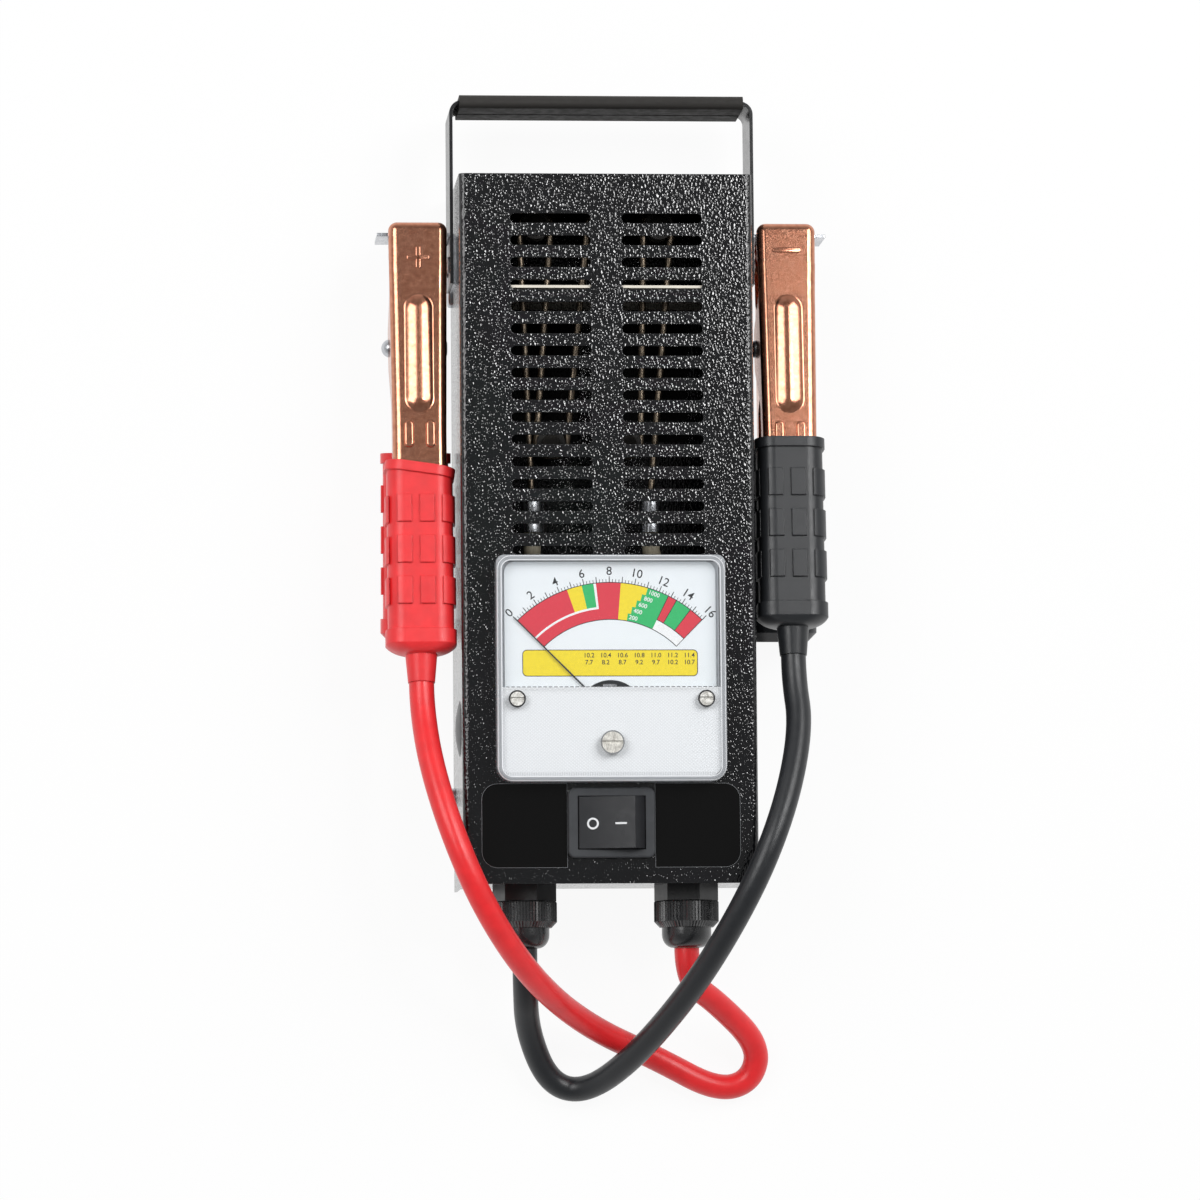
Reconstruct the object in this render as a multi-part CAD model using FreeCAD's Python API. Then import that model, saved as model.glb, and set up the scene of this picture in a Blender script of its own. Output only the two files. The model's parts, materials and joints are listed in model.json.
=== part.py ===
import FreeCAD, Part
import math
import os

# A battery load tester that lies on its back. Millimetres; the back face is on z = 0, +Z leaves the
# front panel, +Y points to the handle and +X to the right of the panel.

Vector = FreeCAD.Vector
X_AXIS = Vector(1, 0, 0)
Y_AXIS = Vector(0, 1, 0)
Z_AXIS = Vector(0, 0, 1)
FULL_TURN = 360.0
HEX_SIDES = 6
# A cutter runs this far past the face that it cuts; points nearer than SAME_PLACE count as one.
CUT_MARGIN = 1.0
SAME_PLACE = 1e-3

# Case
CASE_WIDTH = 105.5
CASE_LENGTH = 255.0
CASE_DEPTH = 58.0
SHEET = 1.0
BEND_RADIUS = 1.2
END_RECESS = 1.0
RIM_LIFT = 0.3
END_FLANGE = 9.0
SIDE_FLANGE = 13.0
SIDE_FLANGE_INSET = 12.0
FIT = 0.2
PRESS_GAP = 0.02
HALF_WIDTH = CASE_WIDTH / 2
HALF_LENGTH = CASE_LENGTH / 2
MID_DEPTH = CASE_DEPTH / 2
INNER_HALF = HALF_WIDTH - SHEET
CHASSIS_HALF = INNER_HALF - FIT
END_Y = HALF_LENGTH - END_RECESS
PANEL_BACK = CASE_DEPTH - SHEET

# Vent slots
VENT_ROWS = 16
BACK_VENT_SKIPPED_ROWS = 2
BACK_VENT_ROWS = 8
VENT_PITCH = 8.0
VENT_LENGTH = 29.0
VENT_HEIGHT = 3.5
VENT_COLUMN = 20.0
VENT_MARGIN = 16.2

# Cover screws and the round plug in the left side
SCREW_RADIUS = 1.7
SCREW_HEAD_RADIUS = 3.4
SCREW_HEAD = 1.6
SCREW_LENGTH = 6.0
SCREW_RISE = 7.0
SCREW_FROM_TOP = 38.0
SCREW_FROM_BOTTOM = 34.0
PLUG_RADIUS = 10.0
PLUG_DOME = 1.5
PLUG_BARREL = 8.0
PLUG_WALL = 1.2
PLUG_LIP = 0.6
PLUG_FROM_FRONT = 18.0
PLUG_RISE = 56.5

# Handle and clamp rests
STRAP_WIDTH = 25.0
STRAP_THICK = 1.2
STRAP_BEND = 3.5
STRAP_GAP = 28.3
STRAP_FOOT = 37.5
SLEEVE_LENGTH = 103.0
SLEEVE_THICK = 4.8
SLEEVE_DEPTH = 28.6
SLEEVE_SLIT = 1.2
SLEEVE_ROUND = 2.2
REST_DROP = 18.8
REST_WIDTH = 20.0
REST_THICK = 1.2
REST_BEND = 0.6
REST_REACH = 28.6
REST_LEG = 18.7
RIVET_RADIUS = 1.6
RIVET_HEAD_RADIUS = 3.0
RIVET_HEAD = 0.6
RIVET_TAIL = 0.9
RIVET_TAIL_RADIUS = 2.4
RIVET_SPACING = 11.0
RIVET_DROP = 11.0
REST_Y = HALF_LENGTH - REST_DROP
STRAP_INSIDE = HALF_WIDTH + REST_THICK
STRAP_OUTSIDE = STRAP_INSIDE + STRAP_THICK
STRAP_TOP = HALF_LENGTH + STRAP_GAP

# Panel meter
METER_WIDTH = 82.0
METER_HEIGHT = 81.0
METER_RISE = 76.2
METER_PROUD = 8.0
METER_WALL = 1.8
METER_FRONT = 2.0
METER_TOP_RADIUS = 3.0
METER_LOW_RADIUS = 6.0
METER_EDGE = 1.2
FLANGE_THICK = 2.0
BARREL_RADIUS = 31.0
BARREL_WALL = 2.0
BARREL_DEPTH = 30.0
METER_STUD_INSET = 8.0
METER_STUD_RADIUS = 1.5
METER_STUD_LENGTH = 8.0
METER_NUT_RADIUS = 3.2
METER_NUT = 2.4
DIAL_THICK = 0.5
DIAL_LIFT = 0.6
DIAL_SIDE_MARGIN = 1.4
DIAL_TOP_MARGIN = 0.3
DIAL_HOLE = 12.0
DIAL_ROUND = 4.0
DIAL_POST_RADIUS = 2.0
DIAL_POST_INSET = 10.0
DIAL_POST_DROP = 7.0
APRON_RISE = 9.3
APRON_THICK = 1.2
APRON_ROUND = 4.0
COVER_SCREW_INSET = 7.3
COVER_SCREW_RISE = 5.0
COVER_SCREW_HEAD_RADIUS = 2.95
COVER_SCREW_HEAD = 1.4
COVER_SCREW_SINK = 1.0
COVER_SCREW_RADIUS = 1.4
COVER_SCREW_LENGTH = 4.5
BOSS_RADIUS = 3.4
TERMINAL_X = 14.0
TERMINAL_RADIUS = 2.5
TERMINAL_LENGTH = 12.0
TERMINAL_NUT_RADIUS = 4.6
TERMINAL_NUT = 4.0

# Meter movement
PIVOT_DROP = 16.0
MAGNET_RADIUS = 11.0
MAGNET_BORE = 8.2
MAGNET_HEIGHT = 26.0
CORE_RADIUS = 5.4
CORE_HEIGHT = 14.0
CORE_LIFT = 6.0
CORE_ARM = 3.0
COIL_RADIUS = 6.8
COIL_THICK = 1.4
COIL_WIDTH = 2.0
COIL_CLEAR = 1.0
BRIDGE_WIDTH = 5.0
BRIDGE_THICK = 1.2
SHAFT_RADIUS = 0.5
SHAFT_CLEAR = 0.05
NEEDLE_REACH = 48.5
NEEDLE_TAIL = 8.0
NEEDLE_ROOT = 0.7
NEEDLE_TIP = 0.35
NEEDLE_THICK = 0.3
NEEDLE_LIFT = 0.9
NEEDLE_ANGLE = 135.0
HUB_RADIUS = 1.8
HUB_HEIGHT = 0.6
ZERO_DROP = 26.6
ZERO_RADIUS = 4.25
ZERO_HEAD = 1.2
ZERO_SLOT = 1.1
ZERO_SLOT_DEPTH = 0.7
ZERO_STEM = 1.6
ZERO_STEM_LENGTH = 7.0
RUNNING_GAP = 0.08

# Rocker switch
SWITCH_RISE = 21.5
BEZEL_LENGTH = 31.0
BEZEL_WIDTH = 25.0
BEZEL_THICK = 2.5
BEZEL_ROUND = 2.5
BEZEL_EDGE = 0.8
SWITCH_WALL = 0.8
SWITCH_DEPTH = 25.0
SWITCH_SIDE = 1.3
ROCKER_TILT = 12.0
ROCKER_TOP_HALF = 10.0
ROCKER_HEIGHT = 8.7
ROCKER_WIDTH = 18.5
ROCKER_DISH = 0.5
ROCKER_GAP = 0.3
ROCKER_LIFT = 0.3
ROCKER_SKIRT_ANGLE = 14.0
ROCKER_FOOT_HALF = 6.0
ROCKER_FOOT = 2.0
ROCKER_NOSE_HALF = 2.0
ROCKER_NOSE = 4.0
ROCKER_PIN = 1.5
ROCKER_PIN_LENGTH = 1.0
CAVITY_FLOOR = 7.4
LEAF_THICK = 0.4
LEAF_WIDTH = 5.0
LEAF_HALF = 7.5
LEAF_RISE = 1.4
BLADE_X = 7.0
BLADE_WIDTH = 6.3
BLADE_THICK = 0.8
BLADE_LENGTH = 10.0
LUG_LENGTH = 7.0
LUG_HEIGHT = 8.0
LUG_RISE = 4.5
LUG_WALL = 1.0

# Load wire and what carries it
LOAD_RISE = 36.0
LOAD_WIRE = 1.2
LOAD_TURN = 4.2
LOAD_END_GAP = 10.5
LOAD_LOW = 28.0
LOAD_TOP_X = [-30.0, -18.0, -4.5, 4.5, 15.5, 26.0]
LOAD_LOW_X = [-26.0, -24.5, -13.5, 3.5, 13.5, 17.0]
BOBBIN_FLANGE = 5.2
BOBBIN_HEIGHT = 7.0
BOBBIN_LIP = 1.6
POST_RADIUS = 2.0
POST_HEAD = 3.2
POST_HEAD_HEIGHT = 2.0
BOARD_END_GAP = 39.8
BOARD_THICK = 1.0
BOARD_HOLE_GAP = 0.6
FERRULE_RADIUS = 4.2
FERRULE_LENGTH = 13.0
FERRULE_LOW = 0.0
WIRE_RADIUS = 3.2
WIRE_RUN = 8.0

# Cable glands
GLAND_X = 29.2
GLAND_HEX = 20.0
GLAND_HEX_LENGTH = 6.0
GLAND_HEX_TURN = 11.0
GLAND_THREAD = 9.0
GLAND_TAIL = 11.0
GLAND_NECK = 9.5
GLAND_NECK_LENGTH = 8.6
GLAND_SEAT = 6.4
GLAND_BORE = 4.9
NUT_RADIUS = 11.65
NUT_LENGTH = 9.6
NUT_ROUND = 1.0
NUT_FLUTES = 20
NUT_FLUTE_DEPTH = 0.5
NUT_FLUTE_WIDTH = 1.5
DOME_RADIUS = 9.5
DOME_MOUTH = 6.0
DOME_LENGTH = 7.3
DOME_ROUND = 2.0
LOCKNUT_HEX = 22.0
LOCKNUT_LENGTH = 4.5
GLAND_END = -END_Y - GLAND_HEX_LENGTH - NUT_LENGTH - DOME_LENGTH

# Leads
LEAD_RADIUS = 4.5
ARC_SHARE = 0.45
LEAD_IN = 9.0
GLAND_RUN = 12.0
RED_ROUTE = [
    Vector(-64.0, -86.0, 60.5),
    Vector(-56.5, -112.0, 69.0),
    Vector(-45.0, -138.0, 66.0),
    Vector(-28.0, -161.0, 47.0),
    Vector(-6.5, -176.5, 15.5),
    Vector(20.5, -188.5, 4.7),
    Vector(42.0, -200.2, 4.7),
    Vector(54.6, -196.8, 4.9),
    Vector(57.2, -183.8, 8.5),
    Vector(40.5, -168.5, 21.0),
]
BLACK_ROUTE = [
    Vector(-27.5, -178.5, 13.0),
    Vector(-19.2, -197.2, 4.7),
    Vector(-6.0, -200.6, 4.8),
    Vector(10.0, -189.0, 23.0),
    Vector(29.0, -165.5, 47.0),
    Vector(43.0, -142.0, 63.0),
    Vector(54.5, -118.5, 69.5),
    Vector(63.5, -94.0, 64.0),
    Vector(68.4, -70.5, 55.5),
]
RED_TAIL = [
    Vector(33.0, -96.0, 23.0),
    Vector(36.0, -78.0, 13.5),
    Vector(36.5, -42.0, 12.5),
    Vector(26.0, -20.0, 25.0),
]
BLACK_TAIL = [
    Vector(-29.5, -92.0, 22.5),
    Vector(-21.0, -77.0, 15.5),
    Vector(-9.5, -80.0, 19.0),
]
JUMPER = [
    Vector(5.5, -76.0, 17.0),
    Vector(-2.0, -60.0, 8.0),
    Vector(-18.0, -42.0, 6.5),
    Vector(-28.0, -22.0, 19.0),
]

# Clamps, measured down from the top of the rest that they grip
CLAMP_OFFSET = 14.05
CLAMP_X = HALF_WIDTH + CLAMP_OFFSET
JAW_SHEET = 1.2
JAW_TIP = 3.7
JAW_BEND = 22.7
JAW_PIVOT = 40.7
JAW_TAPER = 74.0
JAW_END = 126.0
JAW_TIP_WIDTH = 21.3
JAW_HANDLE_WIDTH = 19.4
JAW_NEST = 0.25
JAW_TIP_RISE = 3.8
JAW_BEND_RISE = 5.2
JAW_LEAN = 5.1
JAW_DEPTH = 8.2
JAW_CORNER = 1.6
JAW_TIP_CORNER = 3.2
JAW_EDGE = 3.0
JAW_TAPER_ROUND = 200.0
JAW_BEND_ROUND = 6.0
EAR_HALF = 7.0
EAR_DEPTH = 6.0
EAR_ROUND = 5.0
EAR_SLOPE = 15.0
MOUTH_RISE = 2.3
MOUTH_STEP = 2.5
TOOTH_COUNT = 4
TOOTH_START = 8.7
TOOTH_PITCH = 3.6
TOOTH_DEPTH = 1.8
TOOTH_OVERLAP = 1.0
NOTCH_HALF = 1.1
NOTCH_GAP = 0.15
RIB_WIDTH = 10.0
RIB_LENGTH = 43.3
RIB_RISE = 1.5
RIB_FOOT = 1.1
RIB_START = 0.3
SHORT_RIB_RISE = 0.9
SHORT_RIB_SHOULDER = 0.8
SHORT_RIB_WIDTH = 3.5
SHORT_RIB_LENGTH = 10.0
SHORT_RIB_GAP = 7.8
SHORT_RIB_START = 69.5
PIN_RADIUS = 2.4
PIN_CLEAR = 0.05
PIN_HEAD_RADIUS = 3.3
PIN_DOME = 2.6
PIN_PEEN = 0.8
SPRING_WIRE = 1.0
SPRING_RADIUS = 4.6
SPRING_PITCH = 2.6
SPRING_TURNS = 3
SPRING_SPLAY = 22.0
SPRING_LEG = 20.0
SPRING_POINTS = 6

# Vinyl grips
GRIP_WIDTH = 23.6
GRIP_THICK = 16.4
GRIP_SINK = 6.9
GRIP_ROUND = 6.0
GRIP_BAND = 0.9
GRIP_RIM = 3.6
GRIP_BODY = 60.1
GRIP_COLLAR = 5.2
GRIP_SHOULDER = 3.4
GRIP_NECK = 10.0
GRIP_NECK_WIDTH = 11.4
GRIP_MOUTH_WIDTH = 9.6
GRIP_END_WIDTH = 19.0
GRIP_END_THICK = 11.0
GRIP_END_ROUND = 4.0
PAD_WIDTH = 5.2
PAD_LENGTH = 9.9
PAD_RISE = 0.8
PAD_ACROSS = 8.15
PAD_ALONG = 14.9
PAD_SHIFT = -1.8
PAD_ROWS = 3
PAD_START = 11.6
PAD_COLUMNS = 4
SHOULDER_SHARE = 0.6
TURN_SHARE = 1 / 3
NECK_ROUND = 0.45
POCKET_GAP = 0.5
GRIP_LENGTH = GRIP_BODY + GRIP_COLLAR + GRIP_SHOULDER + GRIP_NECK
RED_GRIP_DROP = 85.2
RED_RIM_SLANT = 8.0
BLACK_GRIP_DROP = 75.5
BLACK_RIM_SLANT = 0.0
REAR_GRIP_DROP = 77.0

# Places that several pieces share
METER_Y = METER_RISE - HALF_LENGTH
METER_FACE = CASE_DEPTH + METER_PROUD
METER_CEILING = METER_FACE - METER_FRONT
METER_INNER_HALF = METER_WIDTH / 2 - METER_WALL
DIAL_POST_X = METER_WIDTH / 2 - DIAL_POST_INSET
COVER_SCREW_X = METER_WIDTH / 2 - COVER_SCREW_INSET
METER_INNER_RISE = METER_HEIGHT / 2 - METER_WALL
FLANGE_TOP = CASE_DEPTH + FLANGE_THICK
DIAL_BACK = FLANGE_TOP + DIAL_LIFT
DIAL_FACE = DIAL_BACK + DIAL_THICK
APRON_BACK = METER_CEILING - APRON_THICK - FIT / 2
BARREL_FLOOR = CASE_DEPTH - BARREL_DEPTH + BARREL_WALL
PIVOT_Y = METER_Y - PIVOT_DROP
CORE_BASE = BARREL_FLOOR + CORE_LIFT
CORE_TOP = CORE_BASE + CORE_HEIGHT
MAGNET_TOP = BARREL_FLOOR + MAGNET_HEIGHT
NEEDLE_Z = DIAL_FACE + NEEDLE_LIFT
LOAD_TOP = END_Y - LOAD_END_GAP
BOARD_Y = END_Y - BOARD_END_GAP
SWITCH_Y = SWITCH_RISE - HALF_LENGTH
BEZEL_FACE = CASE_DEPTH + BEZEL_THICK
ROCKER_REACH = math.hypot(ROCKER_TOP_HALF, ROCKER_HEIGHT)
TILT = math.radians(ROCKER_TILT)
ROCKER_LOW_CORNER = ROCKER_HEIGHT * math.cos(TILT) - ROCKER_TOP_HALF * math.sin(TILT)
ROCKER_Z = BEZEL_FACE + ROCKER_LIFT - ROCKER_LOW_CORNER
SWITCH_HALF = ROCKER_REACH + ROCKER_GAP + SWITCH_WALL
SWITCH_BODY_HALF = ROCKER_WIDTH / 2 + ROCKER_GAP + SWITCH_SIDE
SWITCH_BACK = CASE_DEPTH - SWITCH_DEPTH
PIVOT = Vector(0, PIVOT_Y, 0)
ROCKER_AXIS = Vector(0, SWITCH_Y, ROCKER_Z)
JAW_TIP_Y = REST_Y + JAW_TIP
JAW_BEND_Y = REST_Y - JAW_BEND
JAW_PIVOT_Y = REST_Y - JAW_PIVOT
JAW_END_Y = REST_Y - JAW_END
JAW_TAPER_Y = REST_Y - JAW_TAPER
REST_HALF = REST_WIDTH / 2
JAW_TIP_H = REST_HALF + JAW_TIP_RISE
JAW_BEND_H = REST_HALF + JAW_BEND_RISE
LEAN = math.radians(JAW_LEAN)
JAW_HINGE = Vector(0, JAW_BEND_Y, MID_DEPTH + JAW_BEND_H)


# Basic forms

def box(low, high):
    """A block between two opposite corners."""
    size = high - low
    return Part.makeBox(size.x, size.y, size.z, low)


def cylinder(radius, start, end):
    """A round bar from one point to another."""
    along = end - start
    return Part.makeCylinder(radius, along.Length, start, along)


def tube(outer, inner, start, end):
    """A round bar with a bore."""
    return cylinder(outer, start, end).cut(cylinder(inner, start, end))


def rectangle(centre, width, height):
    """Four corners in the XY plane, from the lower left one round to the upper left one."""
    across = X_AXIS * (width / 2)
    up = Y_AXIS * (height / 2)
    return [centre - across - up, centre + across - up, centre + across + up, centre - across + up]


def corner_arc(before, corner, after, radius):
    """Where an arc that rounds a corner starts, its middle and its end."""
    back = (before - corner).normalize()
    ahead = (after - corner).normalize()
    half = back.getAngle(ahead) / 2
    reach = radius / math.tan(half)
    middle = corner + (back + ahead).normalize() * (radius / math.sin(half) - radius)
    return corner + back * reach, middle, corner + ahead * reach


def add_line(edges, start, end):
    """Adds a straight edge, unless it has no length."""
    if start.distanceToPoint(end) > SAME_PLACE:
        edges.append(Part.LineSegment(start, end).toShape())


def rounded_path(points, radii):
    """Straight runs joined by tangent arcs, with one radius for each inner point."""
    edges = []
    start = points[0]
    for before, corner, after, radius in zip(points, points[1:], points[2:], radii):
        enter, middle, leave = corner_arc(before, corner, after, radius)
        add_line(edges, start, enter)
        edges.append(Part.Arc(enter, middle, leave).toShape())
        start = leave
    add_line(edges, start, points[-1])
    return edges


def rounded_outline(points, radii):
    """A closed outline whose corners have the given radii; 0 leaves a corner sharp."""
    count = len(points)
    turns = []
    for i in range(count):
        if radii[i] > 0:
            turns.append(corner_arc(points[i - 1], points[i], points[(i + 1) % count], radii[i]))
        else:
            turns.append((points[i], None, points[i]))
    edges = []
    for i in range(count):
        enter, middle, leave = turns[i]
        if middle is not None:
            edges.append(Part.Arc(enter, middle, leave).toShape())
        add_line(edges, leave, turns[(i + 1) % count][0])
    return Part.Wire(edges)


def plate(outline, thickness):
    """A flat piece with the given outline, thickened along a vector."""
    return Part.Face(outline).extrude(thickness)


def rounded_plate(centre, width, height, radius, thickness):
    """A rectangular plate with equal round corners that rises from its centre point."""
    outline = rounded_outline(rectangle(centre, width, height), [radius] * 4)
    return plate(outline, Z_AXIS * thickness)


def folded_sheet(points, normal, thickness, inner_radius, width):
    """A sheet folded along points on one of its faces, thickened to the left and drawn along normal."""
    runs = [(b - a).normalize() for a, b in zip(points, points[1:])]
    lefts = [normal.cross(run) for run in runs]
    near = []
    far = []
    offset = [points[0] + lefts[0] * thickness]
    for i in range(1, len(runs)):
        joint = lefts[i - 1] + lefts[i]
        offset.append(points[i] + joint * (thickness / (1 + lefts[i - 1].dot(lefts[i]))))
        turns_left = runs[i - 1].cross(runs[i]).dot(normal) > 0
        near.append(inner_radius + thickness * turns_left)
        far.append(inner_radius + thickness * (not turns_left))
    offset.append(points[-1] + lefts[-1] * thickness)
    edges = rounded_path(points, near)
    add_line(edges, points[-1], offset[-1])
    edges += rounded_path(offset[::-1], far[::-1])
    add_line(edges, offset[0], points[0])
    outline = Part.Wire(Part.__sortEdges__(edges))
    return plate(outline, normal * width)


def hexagon(flats, turn, start, length):
    """A hexagonal bar along Y, turned about its axis."""
    corner = flats / math.sqrt(3)
    points = []
    for i in range(HEX_SIDES):
        angle = math.radians(turn + i * FULL_TURN / HEX_SIDES)
        points.append(start + Vector(corner * math.cos(angle), 0, corner * math.sin(angle)))
    return plate(rounded_outline(points, [0] * HEX_SIDES), Y_AXIS * length)


def sweep_tube(path, radius):
    """A round tube along a path of tangent edges."""
    wire = Part.Wire(path)
    first = path[0]
    start = first.valueAt(first.FirstParameter)
    along = first.tangentAt(first.FirstParameter)
    ring = Part.Wire(Part.Circle(start, along, radius).toShape())
    return wire.makePipeShell([ring], True, False)


def mirrored_left(shape):
    """The same piece on the other side of the case."""
    return shape.mirror(Vector(0, 0, 0), X_AXIS)


# Case

def vent_cuts(low, high, first, rows):
    """Slots with round ends, in two columns and several rows."""
    cuts = []
    for row in range(first, first + rows):
        y = HALF_LENGTH - VENT_MARGIN - row * VENT_PITCH
        for x in (-VENT_COLUMN, VENT_COLUMN):
            centre = Vector(x, y, low)
            cuts.append(rounded_plate(centre, VENT_LENGTH, VENT_HEIGHT, VENT_HEIGHT / 2, high - low))
    return cuts


def screw_places():
    """Height along Y of the cover screws on each side."""
    return [HALF_LENGTH - SCREW_FROM_TOP, SCREW_FROM_BOTTOM - HALF_LENGTH]


def rivet_places():
    """Where the handle rivets cross the right side wall, in Y and Z."""
    y = REST_Y - RIVET_DROP
    return [(y, MID_DEPTH - RIVET_SPACING / 2), (y, MID_DEPTH + RIVET_SPACING / 2)]


def meter_stud_places():
    """Centres of the meter's four mounting studs, on the front panel."""
    across = METER_WIDTH - 2 * METER_STUD_INSET
    up = METER_HEIGHT - 2 * METER_STUD_INSET
    return rectangle(Vector(0, METER_Y, CASE_DEPTH), across, up)


def front_cover():
    """Front panel and both long sides, folded from one sheet."""
    y = -HALF_LENGTH
    line = [
        Vector(-HALF_WIDTH, y, RIM_LIFT),
        Vector(-HALF_WIDTH, y, CASE_DEPTH),
        Vector(HALF_WIDTH, y, CASE_DEPTH),
        Vector(HALF_WIDTH, y, RIM_LIFT),
    ]
    cover = folded_sheet(line, Y_AXIS, SHEET, BEND_RADIUS, CASE_LENGTH)
    low = PANEL_BACK - SHEET
    high = CASE_DEPTH + SHEET
    cuts = vent_cuts(low, high, 0, VENT_ROWS)
    cuts.append(cylinder(BARREL_RADIUS + FIT, Vector(0, METER_Y, low), Vector(0, METER_Y, high)))
    for place in meter_stud_places():
        cuts.append(cylinder(METER_STUD_RADIUS + FIT, place - Z_AXIS * 2 * SHEET, place + Z_AXIS * SHEET))
    window = rectangle(Vector(0, SWITCH_Y, low), 2 * (SWITCH_HALF + FIT), 2 * (SWITCH_BODY_HALF + FIT))
    cuts.append(plate(rounded_outline(window, [0] * 4), Z_AXIS * (high - low)))
    through = X_AXIS * (HALF_WIDTH + SHEET)
    for y in screw_places():
        place = Vector(0, y, SCREW_RISE)
        cuts.append(cylinder(SCREW_RADIUS + PRESS_GAP, place - through, place + through))
    for y, z in rivet_places():
        place = Vector(0, y, z)
        cuts.append(cylinder(RIVET_RADIUS + PRESS_GAP, place - through, place + through))
    plug = plug_centre()
    cuts.append(cylinder(PLUG_BARREL + PRESS_GAP, plug - X_AXIS * SHEET, plug + X_AXIS * 2 * SHEET))
    return cover.cut(cuts)


def rear_chassis():
    """Back, both end walls and their flanges, folded from one sheet, with upturned screw flanges."""
    x = -CHASSIS_HALF
    top = PANEL_BACK - FIT
    line = [
        Vector(x, END_FLANGE - END_Y, top),
        Vector(x, -END_Y, top),
        Vector(x, -END_Y, 0),
        Vector(x, END_Y, 0),
        Vector(x, END_Y, top),
        Vector(x, END_Y - END_FLANGE, top),
    ]
    chassis = folded_sheet(line, X_AXIS, SHEET, BEND_RADIUS, 2 * CHASSIS_HALF)
    reach = END_Y - SIDE_FLANGE_INSET
    for x in (-CHASSIS_HALF, CHASSIS_HALF - SHEET):
        chassis = chassis.fuse(box(Vector(x, -reach, 0), Vector(x + SHEET, reach, SIDE_FLANGE)))
    cuts = vent_cuts(-SHEET, 2 * SHEET, BACK_VENT_SKIPPED_ROWS, BACK_VENT_ROWS)
    for x in (-GLAND_X, GLAND_X):
        place = Vector(x, -END_Y, MID_DEPTH)
        cuts.append(cylinder(GLAND_THREAD + FIT, place - Y_AXIS * SHEET, place + Y_AXIS * 2 * SHEET))
    for x in (-CHASSIS_HALF, CHASSIS_HALF - BEND_RADIUS):
        corner = Vector(x, -HALF_LENGTH, top - BEND_RADIUS)
        cuts.append(box(corner, corner + Vector(BEND_RADIUS, CASE_LENGTH, 2 * BEND_RADIUS)))
    through = X_AXIS * HALF_WIDTH
    for y in screw_places():
        place = Vector(0, y, SCREW_RISE)
        cuts.append(cylinder(SCREW_RADIUS + PRESS_GAP, place - through, place + through))
    return chassis.removeSplitter().cut(cuts)


def cover_screws():
    """Pan-head screws through the sides of the cover into the chassis."""
    screws = []
    for side in (-1, 1):
        for y in screw_places():
            face = Vector(side * HALF_WIDTH, y, SCREW_RISE)
            out = X_AXIS * side
            head = cylinder(SCREW_HEAD_RADIUS, face, face + out * SCREW_HEAD)
            top = face + out * SCREW_HEAD
            rim = [e for e in head.Edges if e.CenterOfMass.distanceToPoint(top) < SAME_PLACE]
            head = head.makeFillet(SCREW_HEAD / 2, rim)
            screws.append(head.fuse(cylinder(SCREW_RADIUS, face, face - out * SCREW_LENGTH)))
    return Part.makeCompound(screws)


def plug_centre():
    """Centre of the round plug on the left side wall."""
    return Vector(-HALF_WIDTH, PLUG_RISE - HALF_LENGTH, CASE_DEPTH - PLUG_FROM_FRONT)


def side_plug():
    """A domed press-in plug that closes a hole in the left side."""
    centre = plug_centre()
    dome = PLUG_DOME
    ball = (PLUG_RADIUS ** 2 + dome ** 2) / (2 * dome)
    cap = Part.makeSphere(ball, centre + X_AXIS * (ball - dome))
    cap = cap.common(cylinder(PLUG_RADIUS, centre, centre - X_AXIS * 2 * dome))
    depth = X_AXIS * (SHEET + PLUG_LIP + PLUG_WALL)
    barrel = tube(PLUG_BARREL, PLUG_BARREL - PLUG_WALL, centre, centre + depth)
    lip_start = centre + X_AXIS * (SHEET + PRESS_GAP)
    lip = Part.makeCone(PLUG_BARREL + PLUG_LIP, PLUG_BARREL, PLUG_WALL, lip_start, X_AXIS)
    lip = lip.cut(cylinder(PLUG_BARREL - PLUG_WALL, centre, centre + depth * 2))
    return cap.fuse([barrel, lip])


# Handle and clamp rests

def clamp_rest():
    """The right L-shaped tab that a clamp is parked on."""
    z = MID_DEPTH + REST_HALF
    line = [
        Vector(HALF_WIDTH, REST_Y - REST_LEG, z),
        Vector(HALF_WIDTH, REST_Y, z),
        Vector(HALF_WIDTH + REST_REACH, REST_Y, z),
    ]
    rest = folded_sheet(line, -Z_AXIS, REST_THICK, REST_BEND, REST_WIDTH)
    start = X_AXIS * HALF_WIDTH
    cuts = []
    for y, z in rivet_places():
        place = Vector(0, y, z)
        cuts.append(cylinder(RIVET_RADIUS + PRESS_GAP, place, place + start + X_AXIS * 2 * REST_THICK))
    return rest.cut(cuts)


def handle_strap():
    """A flat strap folded into a U, with a slot on each side for the clamp rest's tab."""
    z = MID_DEPTH + STRAP_WIDTH / 2
    foot = HALF_LENGTH - STRAP_FOOT
    line = [
        Vector(STRAP_INSIDE, foot, z),
        Vector(STRAP_INSIDE, STRAP_TOP, z),
        Vector(-STRAP_INSIDE, STRAP_TOP, z),
        Vector(-STRAP_INSIDE, foot, z),
    ]
    strap = folded_sheet(line, -Z_AXIS, STRAP_THICK, STRAP_BEND, STRAP_WIDTH)
    far = STRAP_OUTSIDE + STRAP_THICK
    slot_low = Vector(-far, REST_Y - REST_THICK - REST_BEND - FIT, MID_DEPTH - REST_HALF - FIT)
    slot_high = Vector(far, REST_Y + FIT, MID_DEPTH + REST_HALF + FIT)
    cuts = [box(slot_low, slot_high)]
    for y, z in rivet_places():
        cuts.append(cylinder(RIVET_RADIUS + PRESS_GAP, Vector(-far, y, z), Vector(far, y, z)))
    return strap.cut(cuts)


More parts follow.
